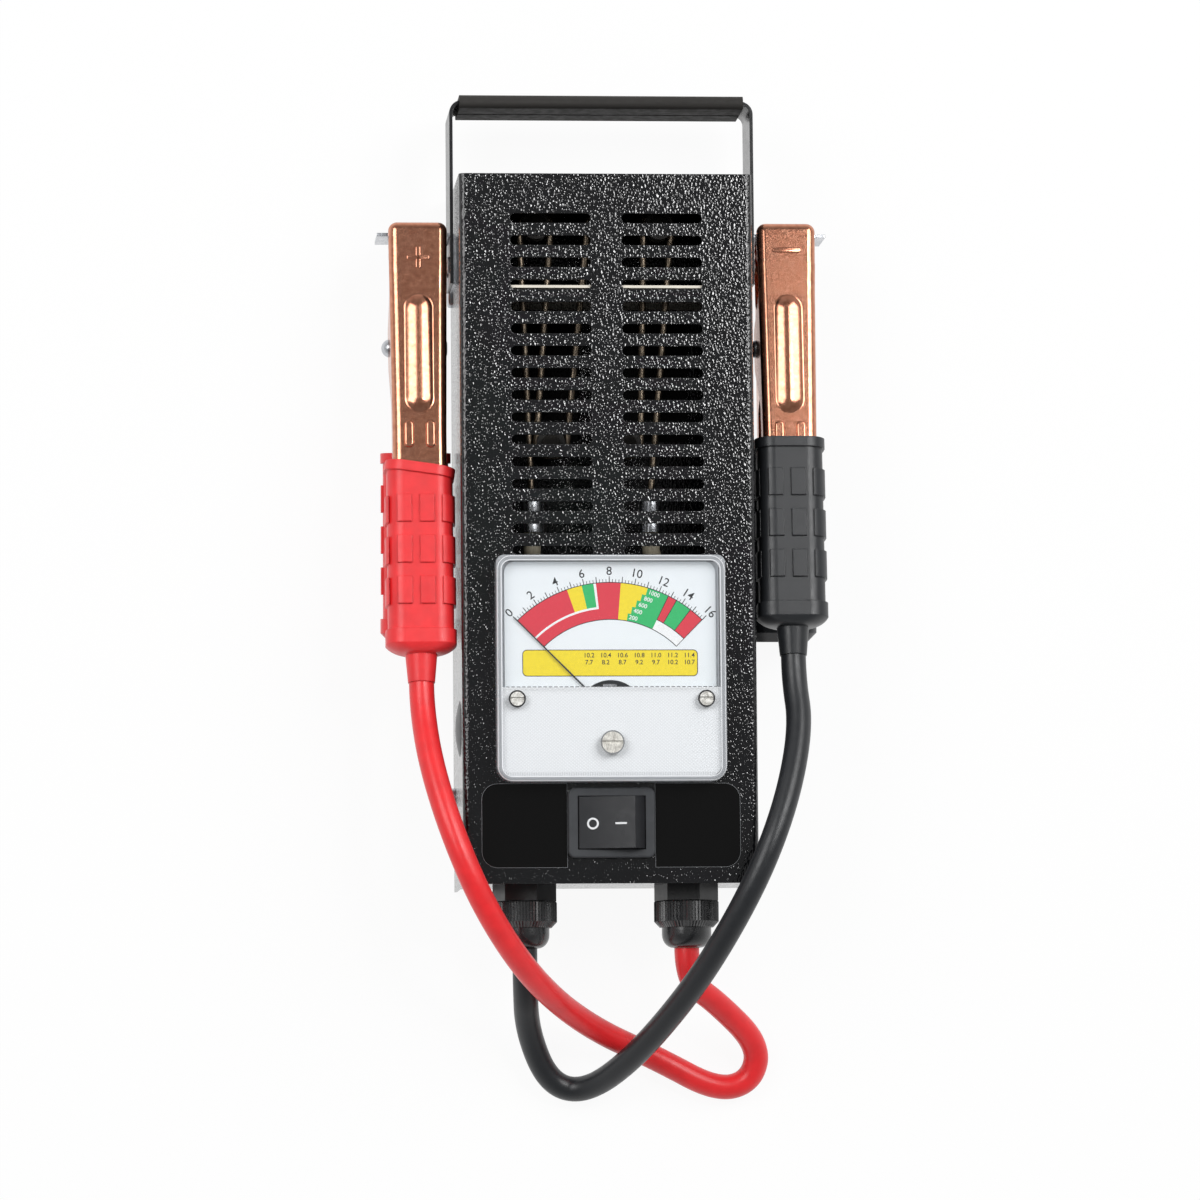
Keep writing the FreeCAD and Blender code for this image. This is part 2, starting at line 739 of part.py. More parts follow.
def handle_sleeve():
    """A vinyl sleeve round the strap, slit along its underside."""
    middle = STRAP_TOP + STRAP_THICK / 2
    half = X_AXIS * (SLEEVE_LENGTH / 2)
    outline = rounded_outline(rectangle(Vector(0, 0, 0), SLEEVE_DEPTH, SLEEVE_THICK), [SLEEVE_ROUND] * 4)
    sleeve = plate(outline, Z_AXIS * SLEEVE_LENGTH)
    sleeve.rotate(Vector(0, 0, 0), Y_AXIS, FULL_TURN / 4)
    sleeve.translate(Vector(0, middle, MID_DEPTH) - half)
    bore = Vector(SLEEVE_LENGTH, STRAP_THICK / 2 + FIT, STRAP_WIDTH / 2 + FIT)
    centre = Vector(0, middle, MID_DEPTH)
    slit_low = centre - Vector(SLEEVE_LENGTH, SLEEVE_THICK, SLEEVE_SLIT / 2)
    slit_high = centre + Vector(SLEEVE_LENGTH, 0, SLEEVE_SLIT / 2)
    return sleeve.cut([box(centre - bore, centre + bore), box(slit_low, slit_high)])


def handle_rivets():
    """Rivets through strap, clamp rest and cover, two on each side."""
    rivets = []
    for y, z in rivet_places():
        outer = Vector(STRAP_OUTSIDE, y, z)
        inner = Vector(INNER_HALF, y, z)
        head = cylinder(RIVET_HEAD_RADIUS, outer, outer + X_AXIS * RIVET_HEAD)
        tail = cylinder(RIVET_TAIL_RADIUS, inner - X_AXIS * RIVET_TAIL, inner)
        rivet = cylinder(RIVET_RADIUS, inner, outer).fuse([head, tail])
        rivets += [rivet, mirrored_left(rivet)]
    return Part.makeCompound(rivets)


# Panel meter

def meter_outline(inset, z):
    """The meter's outline, whose lower corners are rounder than its upper ones."""
    centre = Vector(0, METER_Y, z)
    corners = rectangle(centre, METER_WIDTH - 2 * inset, METER_HEIGHT - 2 * inset)
    low = METER_LOW_RADIUS - inset
    top = METER_TOP_RADIUS - inset
    return rounded_outline(corners, [low, low, top, top])


def cover_screw_places(z):
    """Where the two screws cross the meter's cover."""
    y = PIVOT_Y + COVER_SCREW_RISE
    return [Vector(-COVER_SCREW_X, y, z), Vector(COVER_SCREW_X, y, z)]


def meter_base():
    """Square flange on the panel with a barrel behind it, studs and bosses."""
    flange = plate(meter_outline(METER_WALL + FIT, CASE_DEPTH), Z_AXIS * FLANGE_THICK)
    centre = Vector(0, METER_Y, 0)
    back = centre + Z_AXIS * (CASE_DEPTH - BARREL_DEPTH)
    base = flange.fuse(cylinder(BARREL_RADIUS, back, centre + Z_AXIS * CASE_DEPTH))
    floor = centre + Z_AXIS * BARREL_FLOOR
    base = base.cut(cylinder(BARREL_RADIUS - BARREL_WALL, floor, centre + Z_AXIS * (FLANGE_TOP + CUT_MARGIN)))
    added = []
    for place in meter_stud_places():
        added.append(cylinder(METER_STUD_RADIUS, place, place - Z_AXIS * METER_STUD_LENGTH))
    for x in (-DIAL_POST_X, DIAL_POST_X):
        post = Vector(x, METER_Y + METER_INNER_RISE - DIAL_POST_DROP, FLANGE_TOP)
        added.append(cylinder(DIAL_POST_RADIUS, post, post + Z_AXIS * DIAL_LIFT))
    for place in cover_screw_places(FLANGE_TOP):
        top = place + Z_AXIS * (APRON_BACK - FLANGE_TOP)
        added.append(tube(BOSS_RADIUS, COVER_SCREW_RADIUS + PRESS_GAP, place, top))
    cuts = []
    for x in (-TERMINAL_X, TERMINAL_X):
        hole = Vector(x, METER_Y, BARREL_FLOOR)
        cuts.append(cylinder(TERMINAL_RADIUS + PRESS_GAP, hole, hole - Z_AXIS * 2 * BARREL_WALL))
    return base.fuse(added).cut(cuts)


def meter_cover():
    """Clear moulded cover, open towards the panel."""
    cover = plate(meter_outline(0, CASE_DEPTH), Z_AXIS * METER_PROUD)
    rim = [e for e in cover.Edges if e.BoundBox.ZMin > METER_FACE - SAME_PLACE]
    cover = cover.makeFillet(METER_EDGE, rim)
    cuts = [plate(meter_outline(METER_WALL, CASE_DEPTH), Z_AXIS * (METER_PROUD - METER_FRONT))]
    for place in cover_screw_places(METER_FACE):
        sink = place - Z_AXIS * COVER_SCREW_SINK
        cuts.append(cylinder(COVER_SCREW_HEAD_RADIUS + FIT, sink, place + Z_AXIS))
        cuts.append(cylinder(COVER_SCREW_RADIUS + FIT, place - Z_AXIS * 2 * METER_FRONT, place))
    zero = zero_place(METER_FACE)
    cuts.append(cylinder(ZERO_STEM + RUNNING_GAP, zero - Z_AXIS * 2 * METER_FRONT, zero + Z_AXIS))
    return cover.cut(cuts)


def meter_apron():
    """White moulded plate that hides the movement below the dial."""
    top = PIVOT_Y + APRON_RISE
    low = METER_Y - METER_INNER_RISE + FIT
    half = METER_INNER_HALF - FIT
    centre = Vector(0, (top + low) / 2, APRON_BACK)
    corners = rectangle(centre, 2 * half, top - low)
    apron = plate(rounded_outline(corners, [APRON_ROUND, APRON_ROUND, 0, 0]), Z_AXIS * APRON_THICK)
    cuts = []
    for place in cover_screw_places(APRON_BACK):
        cuts.append(cylinder(COVER_SCREW_RADIUS + FIT, place - Z_AXIS, place + Z_AXIS * 2 * APRON_THICK))
    zero = zero_place(APRON_BACK)
    cuts.append(cylinder(ZERO_STEM + FIT, zero - Z_AXIS, zero + Z_AXIS * 2 * APRON_THICK))
    return apron.cut(cuts)


def meter_cover_screws():
    """Two round-head screws that hold cover and apron on the base."""
    screws = []
    for place in cover_screw_places(METER_FACE - COVER_SCREW_SINK):
        head = cylinder(COVER_SCREW_HEAD_RADIUS, place, place + Z_AXIS * COVER_SCREW_HEAD)
        shank = cylinder(COVER_SCREW_RADIUS, place - Z_AXIS * COVER_SCREW_LENGTH, place)
        slot = Vector(COVER_SCREW_HEAD_RADIUS * 2, ZERO_SLOT / 2, 0)
        slot_base = place + Z_AXIS * (COVER_SCREW_HEAD - ZERO_SLOT_DEPTH)
        cut = box(slot_base - slot, slot_base + slot + Z_AXIS * COVER_SCREW_HEAD)
        screws.append(head.fuse(shank).cut(cut))
    return Part.makeCompound(screws)


def meter_dial():
    """Dial plate with a round cut-out at the movement."""
    half = METER_INNER_HALF - DIAL_SIDE_MARGIN
    top = METER_Y + METER_INNER_RISE - DIAL_TOP_MARGIN
    low = PIVOT_Y
    centre = Vector(0, (top + low) / 2, DIAL_BACK)
    dial = rounded_plate(centre, 2 * half, top - low, DIAL_ROUND, DIAL_THICK)
    below = PIVOT + Z_AXIS * (DIAL_BACK - CUT_MARGIN)
    above = PIVOT + Z_AXIS * (DIAL_FACE + CUT_MARGIN)
    cuts = [cylinder(DIAL_HOLE, below, above)]
    for place in cover_screw_places(DIAL_BACK):
        cuts.append(cylinder(BOSS_RADIUS + FIT, place - Z_AXIS, place + Z_AXIS * 2))
    return dial.cut(cuts)


def meter_nuts():
    """Nuts on the meter's studs, behind the panel."""
    nuts = []
    for place in meter_stud_places():
        top = place - Z_AXIS * SHEET
        nuts.append(tube(METER_NUT_RADIUS, METER_STUD_RADIUS + PRESS_GAP, top - Z_AXIS * METER_NUT, top))
    return Part.makeCompound(nuts)


def meter_terminals():
    """Two threaded studs with nuts in the back of the meter."""
    studs = []
    for x in (-TERMINAL_X, TERMINAL_X):
        inner = Vector(x, METER_Y, BARREL_FLOOR)
        back = Vector(x, METER_Y, BARREL_FLOOR - BARREL_WALL)
        stud = cylinder(TERMINAL_RADIUS, inner + Z_AXIS, back - Z_AXIS * TERMINAL_LENGTH)
        nut = cylinder(TERMINAL_NUT_RADIUS, back, back - Z_AXIS * TERMINAL_NUT)
        studs.append(stud.fuse(nut))
    return Part.makeCompound(studs)


def meter_magnet():
    """Ring magnet on the floor of the barrel."""
    return tube(MAGNET_RADIUS, MAGNET_BORE, PIVOT + Z_AXIS * BARREL_FLOOR, PIVOT + Z_AXIS * MAGNET_TOP)


def meter_core():
    """Iron core held in the ring by two arms, clear of the coil's swing."""
    core = cylinder(CORE_RADIUS, PIVOT + Z_AXIS * CORE_BASE, PIVOT + Z_AXIS * CORE_TOP)
    middle = PIVOT + Z_AXIS * (CORE_BASE + CORE_TOP) / 2
    half = Vector(CORE_ARM / 2, MAGNET_BORE, CORE_ARM / 2)
    arm = box(middle - half, middle + half)
    bore = cylinder(MAGNET_BORE - PRESS_GAP, PIVOT + Z_AXIS * CORE_BASE, PIVOT + Z_AXIS * CORE_TOP)
    return core.fuse(arm.common(bore))


def meter_bridge():
    """Flat bridge on the magnet that carries the upper bearing."""
    base = PIVOT + Z_AXIS * MAGNET_TOP
    half = Vector(BRIDGE_WIDTH / 2, MAGNET_RADIUS, 0)
    strip = box(base - half, base + half + Z_AXIS * BRIDGE_THICK)
    bearing = cylinder(SHAFT_RADIUS + SHAFT_CLEAR, base - Z_AXIS, base + Z_AXIS * 2 * BRIDGE_THICK)
    return strip.cut(bearing)


def moving_coil():
    """Coil frame round the core, with a stub shaft at each end."""
    low = CORE_BASE - COIL_CLEAR - COIL_THICK
    high = CORE_TOP + COIL_CLEAR + COIL_THICK
    outer = COIL_RADIUS + COIL_THICK / 2
    inner = COIL_RADIUS - COIL_THICK / 2
    half = Vector(0, COIL_WIDTH / 2, 0)
    frame = box(Vector(-outer, 0, low) - half, Vector(outer, 0, high) + half)
    hole_half = Vector(0, COIL_WIDTH, 0)
    hole_low = Vector(-inner, 0, low + COIL_THICK)
    hole_high = Vector(inner, 0, high - COIL_THICK)
    hole = box(hole_low - hole_half, hole_high + hole_half)
    frame = frame.cut(hole)
    lower = cylinder(SHAFT_RADIUS, Vector(0, 0, BARREL_FLOOR + FIT), Vector(0, 0, low))
    upper = cylinder(SHAFT_RADIUS, Vector(0, 0, high), Vector(0, 0, NEEDLE_Z - NEEDLE_THICK + HUB_HEIGHT))
    coil = frame.fuse([lower, upper])
    coil.rotate(Vector(0, 0, 0), Z_AXIS, NEEDLE_ANGLE - FULL_TURN / 4)
    coil.translate(PIVOT)
    return coil


def meter_needle():
    """Hub with a tapering needle and a short balance tail, on the coil's shaft."""
    low = NEEDLE_Z - NEEDLE_THICK
    hub = tube(HUB_RADIUS, SHAFT_RADIUS + PRESS_GAP, Vector(0, 0, low), Vector(0, 0, low + HUB_HEIGHT))
    points = [
        Vector(-NEEDLE_TAIL, -NEEDLE_ROOT, low),
        Vector(0, -NEEDLE_ROOT / 2, low),
        Vector(NEEDLE_REACH, -NEEDLE_TIP / 2, low),
        Vector(NEEDLE_REACH, NEEDLE_TIP / 2, low),
        Vector(0, NEEDLE_ROOT / 2, low),
        Vector(-NEEDLE_TAIL, NEEDLE_ROOT, low),
    ]
    blade = plate(rounded_outline(points, [0] * len(points)), Z_AXIS * NEEDLE_THICK)
    bore = cylinder(SHAFT_RADIUS + PRESS_GAP, Vector(0, 0, low - CUT_MARGIN), Vector(0, 0, low + CUT_MARGIN))
    needle = hub.fuse(blade).cut(bore)
    needle.rotate(Vector(0, 0, 0), Z_AXIS, NEEDLE_ANGLE)
    needle.translate(PIVOT)
    return needle


def zero_place(z):
    """Centre of the zero-adjusting screw."""
    return Vector(0, METER_Y - ZERO_DROP, z)


def zero_screw():
    """Slotted screw in the cover that trims the needle's zero."""
    face = zero_place(METER_FACE + RUNNING_GAP)
    head = cylinder(ZERO_RADIUS, face, face + Z_AXIS * ZERO_HEAD)
    stem = cylinder(ZERO_STEM, face - Z_AXIS * ZERO_STEM_LENGTH, face)
    half = Vector(ZERO_RADIUS * 2, ZERO_SLOT / 2, 0)
    base = face + Z_AXIS * (ZERO_HEAD - ZERO_SLOT_DEPTH)
    return head.fuse(stem).cut(box(base - half, base + half + Z_AXIS * ZERO_HEAD))


# Rocker switch

def switch_well():
    """Hollow that the rocker swings in: a round trough with a flat floor and two bearing holes."""
    half = Y_AXIS * (ROCKER_WIDTH / 2 + ROCKER_GAP)
    trough = cylinder(ROCKER_REACH + ROCKER_GAP, ROCKER_AXIS - half, ROCKER_AXIS + half)
    reach = Vector(SWITCH_HALF, SWITCH_BODY_HALF, 0)
    floor = ROCKER_AXIS - Z_AXIS * CAVITY_FLOOR
    trough = trough.common(box(floor - reach, floor + reach + Z_AXIS * SWITCH_DEPTH))
    pin = half + Y_AXIS * (ROCKER_PIN_LENGTH + FIT - ROCKER_GAP)
    return trough.fuse(cylinder(ROCKER_PIN + SHAFT_CLEAR, ROCKER_AXIS - pin, ROCKER_AXIS + pin))


def blade_places():
    """Centres of the two blade terminals, at the back of the switch."""
    return [Vector(-BLADE_X, SWITCH_Y, SWITCH_BACK), Vector(BLADE_X, SWITCH_Y, SWITCH_BACK)]


def blade(place, gap):
    """One blade terminal from below the switch to the floor of its well."""
    half = Vector(BLADE_THICK / 2 + gap, BLADE_WIDTH / 2 + gap, 0)
    floor = ROCKER_Z - CAVITY_FLOOR - SWITCH_BACK
    return box(place - half - Z_AXIS * BLADE_LENGTH, place + half + Z_AXIS * floor)


def switch_housing():
    """Bezel and body with the rocker's well and slots for the terminals."""
    centre = Vector(0, SWITCH_Y, CASE_DEPTH)
    bezel = rounded_plate(centre, BEZEL_LENGTH, BEZEL_WIDTH, BEZEL_ROUND, BEZEL_THICK)
    rim = [e for e in bezel.Edges if e.BoundBox.ZMin > BEZEL_FACE - SAME_PLACE]
    bezel = bezel.makeFillet(BEZEL_EDGE, rim)
    half = Vector(SWITCH_HALF, SWITCH_BODY_HALF, 0)
    body = box(centre - half - Z_AXIS * SWITCH_DEPTH, centre + half)
    cuts = [switch_well()]
    for place in blade_places():
        cuts.append(blade(place, PRESS_GAP))
    return bezel.fuse(body).cut(cuts)


def switch_rocker():
    """Rocker with a dished top and round ends, on two pins, with its right side up."""
    skirt = math.radians(ROCKER_SKIRT_ANGLE)
    top = math.atan2(ROCKER_HEIGHT, ROCKER_TOP_HALF)
    between = (skirt + top) / 2
    y = -ROCKER_WIDTH / 2
    crown = [Vector(side * ROCKER_TOP_HALF, y, ROCKER_HEIGHT) for side in (-1, 1)]
    dish = Vector(0, y, ROCKER_HEIGHT - ROCKER_DISH)
    edges = [Part.Arc(crown[0], dish, crown[1]).toShape()]
    low = []
    for side, corner in zip((-1, 1), crown):
        middle = Vector(side * ROCKER_REACH * math.cos(between), y, ROCKER_REACH * math.sin(between))
        end = Vector(side * ROCKER_REACH * math.cos(skirt), y, ROCKER_REACH * math.sin(skirt))
        edges.append(Part.Arc(corner, middle, end).toShape())
        low.append(end)
    under = [
        low[1],
        Vector(ROCKER_FOOT_HALF, y, -ROCKER_FOOT),
        Vector(ROCKER_NOSE_HALF, y, -ROCKER_NOSE),
        Vector(-ROCKER_NOSE_HALF, y, -ROCKER_NOSE),
        Vector(-ROCKER_FOOT_HALF, y, -ROCKER_FOOT),
        low[0],
    ]
    for start, end in zip(under, under[1:]):
        add_line(edges, start, end)
    rocker = plate(Part.Wire(Part.__sortEdges__(edges)), Y_AXIS * ROCKER_WIDTH)
    pin = Y_AXIS * (ROCKER_WIDTH / 2 + ROCKER_PIN_LENGTH)
    rocker = rocker.fuse(cylinder(ROCKER_PIN, -pin, pin))
    rocker.rotate(Vector(0, 0, 0), Y_AXIS, -ROCKER_TILT)
    rocker.translate(ROCKER_AXIS)
    return rocker


def switch_contact():
    """Springy contact leaf on the floor of the well."""
    base = ROCKER_AXIS + Vector(0, LEAF_WIDTH / 2, -CAVITY_FLOOR)
    foot = X_AXIS * (LEAF_HALF / 2)
    line = [
        base - X_AXIS * LEAF_HALF,
        base - foot,
        base + Z_AXIS * LEAF_RISE,
        base + foot,
        base + X_AXIS * LEAF_HALF,
    ]
    return folded_sheet(line, -Y_AXIS, LEAF_THICK, LEAF_THICK, LEAF_WIDTH)


def switch_terminals():
    """Two blade terminals."""
    return Part.makeCompound([blade(place, 0) for place in blade_places()])


def lug_mouth(place):
    """Centre of the open end of a lug's barrel."""
    return place + Vector(0, BLADE_WIDTH / 2 + LUG_LENGTH, LUG_RISE - BLADE_LENGTH)


def switch_lugs():
    """Push-on lugs whose barrels point to the meter."""
    lugs = []
    for place in blade_places():
        half = Vector(BLADE_THICK / 2 + LUG_WALL, BLADE_WIDTH / 2 + LUG_WALL, 0)
        base = place - Z_AXIS * (BLADE_LENGTH + LUG_WALL)
        shell = box(base - half, base + half + Z_AXIS * LUG_HEIGHT)
        mouth = lug_mouth(place)
        barrel = cylinder(WIRE_RADIUS, mouth - Y_AXIS * (LUG_LENGTH - LUG_WALL), mouth)
        lugs.append(shell.fuse(barrel).cut(blade(place, PRESS_GAP)))
    return Part.makeCompound(lugs)


# Load wire and what carries it

def load_points():
    """Corners of the load wire, from the left ferrule to the right one."""
    end = FERRULE_LOW + FERRULE_LENGTH + FIT / 2
    low_y = [end, LOAD_LOW, LOAD_LOW, LOAD_LOW, LOAD_LOW, end]
    points = []
    for i, (low_x, top_x) in enumerate(zip(LOAD_LOW_X, LOAD_TOP_X)):
        leg = [Vector(low_x, low_y[i], LOAD_RISE), Vector(top_x, LOAD_TOP, LOAD_RISE)]
        points += leg if i % 2 == 0 else leg[::-1]
    return points


def load_wire():
    """Resistance wire that zigzags behind the vents."""
    points = load_points()
    path = rounded_path(points, [LOAD_TURN] * (len(points) - 2))
    return sweep_tube(path, LOAD_WIRE)


def bobbin_places():
    """Where the wire turns: three bobbins at the top and two at the bottom."""
    points = load_points()
    places = []
    for i in range(1, len(points) - 1, 2):
        inward = -1 if points[i].y > LOAD_LOW else 1
        middle = (points[i] + points[i + 1]) / 2
        places.append(middle + Y_AXIS * (inward * LOAD_TURN))
    return places


def load_insulators():
    """Ceramic bobbins inside the turns of the wire."""
    bobbins = []
    for place in bobbin_places():
        low = place - Z_AXIS * (BOBBIN_HEIGHT / 2)
        high = place + Z_AXIS * (BOBBIN_HEIGHT / 2)
        core = cylinder(LOAD_TURN - LOAD_WIRE - PRESS_GAP, low, high)
        flanges = [cylinder(BOBBIN_FLANGE, low, low + Z_AXIS * BOBBIN_LIP)]
        flanges.append(cylinder(BOBBIN_FLANGE, high - Z_AXIS * BOBBIN_LIP, high))
        bobbins.append(core.fuse(flanges).cut(cylinder(POST_RADIUS + PRESS_GAP, low, high)))
    return Part.makeCompound(bobbins)


def insulator_posts():
    """Posts on the back of the case that carry the bobbins."""
    posts = []
    for place in bobbin_places():
        foot = Vector(place.x, place.y, SHEET)
        top = place + Z_AXIS * (BOBBIN_HEIGHT / 2)
        seat = place - Z_AXIS * (BOBBIN_HEIGHT / 2)
        sleeve = cylinder(POST_HEAD, foot, seat)
        head = cylinder(POST_HEAD, top, top + Z_AXIS * POST_HEAD_HEIGHT)
        posts.append(sleeve.fuse([cylinder(POST_RADIUS, seat, top), head]))
    return Part.makeCompound(posts)


def insulator_board():
    """Heat-proof board across the case, with holes for the wire."""
    half = CHASSIS_HALF - SHEET - FIT
    low = Vector(-half, BOARD_Y - BOARD_THICK / 2, SHEET)
    high = Vector(half, BOARD_Y + BOARD_THICK / 2, PANEL_BACK - FIT)
    points = load_points()
    cuts = []
    for start, end in zip(points[::2], points[1::2]):
        share = (BOARD_Y - start.y) / (end.y - start.y)
        middle = start + (end - start) * share
        depth = Y_AXIS * 2 * BOARD_THICK
        cuts.append(cylinder(LOAD_WIRE + BOARD_HOLE_GAP, middle - depth, middle + depth))
    return box(low, high).cut(cuts)


def ferrule_place(side):
    """Centre of the lower face of the left (-1) or right (1) ferrule."""
    return Vector(LOAD_LOW_X[0 if side < 0 else -1], FERRULE_LOW, LOAD_RISE)


def load_ferrules():
    """Crimped ferrules that join the wire to the cables."""
    ferrules = []
    for side in (-1, 1):
        low = ferrule_place(side)
        ferrules.append(cylinder(FERRULE_RADIUS, low, low + Y_AXIS * FERRULE_LENGTH))
    return Part.makeCompound(ferrules)


# Cable glands

def gland_point(x, inward):
    """A point on a gland's axis, measured inward from the outside of the end wall."""
    return Vector(x, inward - END_Y, MID_DEPTH)


def gland_body(x):
    """Hexagon, threaded tail and neck with a stepped bore."""
    hexagon_end = gland_point(x, -GLAND_HEX_LENGTH)
    outer_end = gland_point(x, -GLAND_HEX_LENGTH - GLAND_NECK_LENGTH)
    inner_end = gland_point(x, GLAND_TAIL)
    body = hexagon(GLAND_HEX, GLAND_HEX_TURN, hexagon_end, GLAND_HEX_LENGTH)
    thread = cylinder(GLAND_THREAD, gland_point(x, 0), inner_end)
    neck = cylinder(GLAND_NECK, outer_end, hexagon_end)
    bore = cylinder(GLAND_BORE, outer_end, inner_end)
    seat = cylinder(GLAND_SEAT, outer_end, hexagon_end)
    return body.fuse([thread, neck]).cut([bore, seat])


def gland_seal(x):
    """Rubber ring between the neck and the cable."""
    start = gland_point(x, -GLAND_HEX_LENGTH - GLAND_NECK_LENGTH)
    end = gland_point(x, -GLAND_HEX_LENGTH)
    return tube(GLAND_SEAT - PRESS_GAP, LEAD_RADIUS + PRESS_GAP, start, end)


def gland_nut(x):
    """Fluted dome nut that squeezes the seal."""
    base = Vector(x, -END_Y - GLAND_HEX_LENGTH - PRESS_GAP, MID_DEPTH)
    skirt = -NUT_LENGTH + PRESS_GAP
    mouth = skirt - DOME_LENGTH
    bore = LEAD_RADIUS + PRESS_GAP
    points = [
        Vector(GLAND_NECK + PRESS_GAP, 0, 0),
        Vector(NUT_RADIUS, 0, 0),
        Vector(NUT_RADIUS, skirt, 0),
        Vector(DOME_RADIUS, skirt, 0),
        Vector(DOME_MOUTH, mouth, 0),
        Vector(bore, mouth, 0),
        Vector(bore, -GLAND_NECK_LENGTH, 0),
        Vector(GLAND_NECK + PRESS_GAP, -GLAND_NECK_LENGTH, 0),
    ]
    radii = [0, 0, NUT_ROUND, 0, DOME_ROUND, 0, 0, 0]
    nut = Part.Face(rounded_outline(points, radii)).revolve(Vector(0, 0, 0), Y_AXIS, FULL_TURN)
    flutes = []
    for i in range(NUT_FLUTES):
        reach = NUT_RADIUS - NUT_FLUTE_DEPTH
        half = NUT_FLUTE_WIDTH / 2
        low = Vector(reach, skirt - CUT_MARGIN, -half)
        high = Vector(NUT_RADIUS + CUT_MARGIN, CUT_MARGIN, half)
        flute = box(low, high)
        flute.rotate(Vector(0, 0, 0), Y_AXIS, i * FULL_TURN / NUT_FLUTES)
        flutes.append(flute)
    nut = nut.cut(flutes)
    nut.translate(base)
    return nut


def gland_locknut(x):
    """Hexagonal nut inside the end wall."""
    start = gland_point(x, SHEET)
    nut = hexagon(LOCKNUT_HEX, GLAND_HEX_TURN, start, LOCKNUT_LENGTH)
    return nut.cut(cylinder(GLAND_THREAD + PRESS_GAP, start, gland_point(x, SHEET + LOCKNUT_LENGTH)))


# Leads

def cord_radii(points):
    """The largest arcs that the runs of a route leave room for."""
    radii = []
    for before, corner, after in zip(points, points[1:], points[2:]):
        arrive = corner - before
        leave = after - corner
        shorter = min(arrive.Length, leave.Length)
        radii.append(ARC_SHARE * shorter / math.tan(arrive.getAngle(leave) / 2))
    return radii


def cord(name, points, radius):
    """A round cord along a route; prints its arcs and how well its volume agrees with its length."""
    radii = cord_radii(points)
    path = rounded_path(points, radii)
    solid = sweep_tube(path, radius)
    length = Part.Wire(path).Length
    share = solid.Volume / (math.pi * radius ** 2 * length)
    rounded = [round(r, 1) for r in radii]
    print(name, "length", round(length, 1), "radii", rounded, "volume share", round(share, 4))
    return solid


def leaned(point):
    """A point beside the straight handle of a jaw, moved onto the leaning handle."""
    offset = point - JAW_HINGE
    turned = FreeCAD.Rotation(X_AXIS, -JAW_LEAN).multVec(offset)
    return JAW_HINGE + turned


def grip_end(x, drop, beyond):
    """A point on the axis of a front grip, beyond the end of its neck."""
    y = REST_Y - drop - GRIP_LENGTH - beyond
    return leaned(Vector(0, y, MID_DEPTH + JAW_BEND_H - GRIP_SINK)) + X_AXIS * x


def gland_runs(x):
    """The end of a gland's nut and a point straight out from it."""
    end = Vector(x, GLAND_END, MID_DEPTH)
    return [end, end - Y_AXIS * GLAND_RUN]


def red_lead():
    """Red lead from the left clamp to the right gland."""
    start = [grip_end(-CLAMP_X, RED_GRIP_DROP, 0), grip_end(-CLAMP_X, RED_GRIP_DROP, LEAD_IN)]
    return cord("red_lead", start + RED_ROUTE + gland_runs(GLAND_X)[::-1], LEAD_RADIUS)


def black_lead():
    """Black lead from the left gland to the right clamp."""
    end = [grip_end(CLAMP_X, BLACK_GRIP_DROP, LEAD_IN), grip_end(CLAMP_X, BLACK_GRIP_DROP, 0)]
    return cord("black_lead", gland_runs(-GLAND_X) + BLACK_ROUTE + end, LEAD_RADIUS)


def jacket(x):
    """The stretch of a lead inside its gland."""
    return cylinder(LEAD_RADIUS, Vector(x, GLAND_END, MID_DEPTH), gland_point(x, GLAND_TAIL))


def ferrule_runs(side):
    """A point straight below a ferrule and the ferrule's lower face."""
    end = ferrule_place(side)
    return [end - Y_AXIS * WIRE_RUN, end]


def red_lead_tail():
    """Inner end of the red lead, from the gland to the right ferrule."""
    start = [gland_point(GLAND_X, GLAND_TAIL), gland_point(GLAND_X, GLAND_TAIL + WIRE_RUN)]
    points = start + RED_TAIL + ferrule_runs(1)
    return cord("red_lead_tail", points, WIRE_RADIUS).fuse(jacket(GLAND_X))


def black_lead_tail():
    """Inner end of the black lead, from the gland to the left lug."""
    start = [gland_point(-GLAND_X, GLAND_TAIL), gland_point(-GLAND_X, GLAND_TAIL + WIRE_RUN)]
    mouth = lug_mouth(blade_places()[0])
    points = start + BLACK_TAIL + [mouth + Y_AXIS * WIRE_RUN, mouth]
    return cord("black_lead_tail", points, WIRE_RADIUS).fuse(jacket(-GLAND_X))


def switch_jumper():
    """Wire from the right lug, under the meter, to the left ferrule."""
    mouth = lug_mouth(blade_places()[1])
    points = [mouth, mouth + Y_AXIS * WIRE_RUN] + JUMPER + ferrule_runs(-1)
    return cord("switch_jumper", points, WIRE_RADIUS)


# Clamps

def web_height(y):
    """Height of a jaw's outer face above the clamp's middle plane, beside the leaning handle."""
    return JAW_BEND_H + (JAW_BEND_Y - y) * math.tan(LEAN)


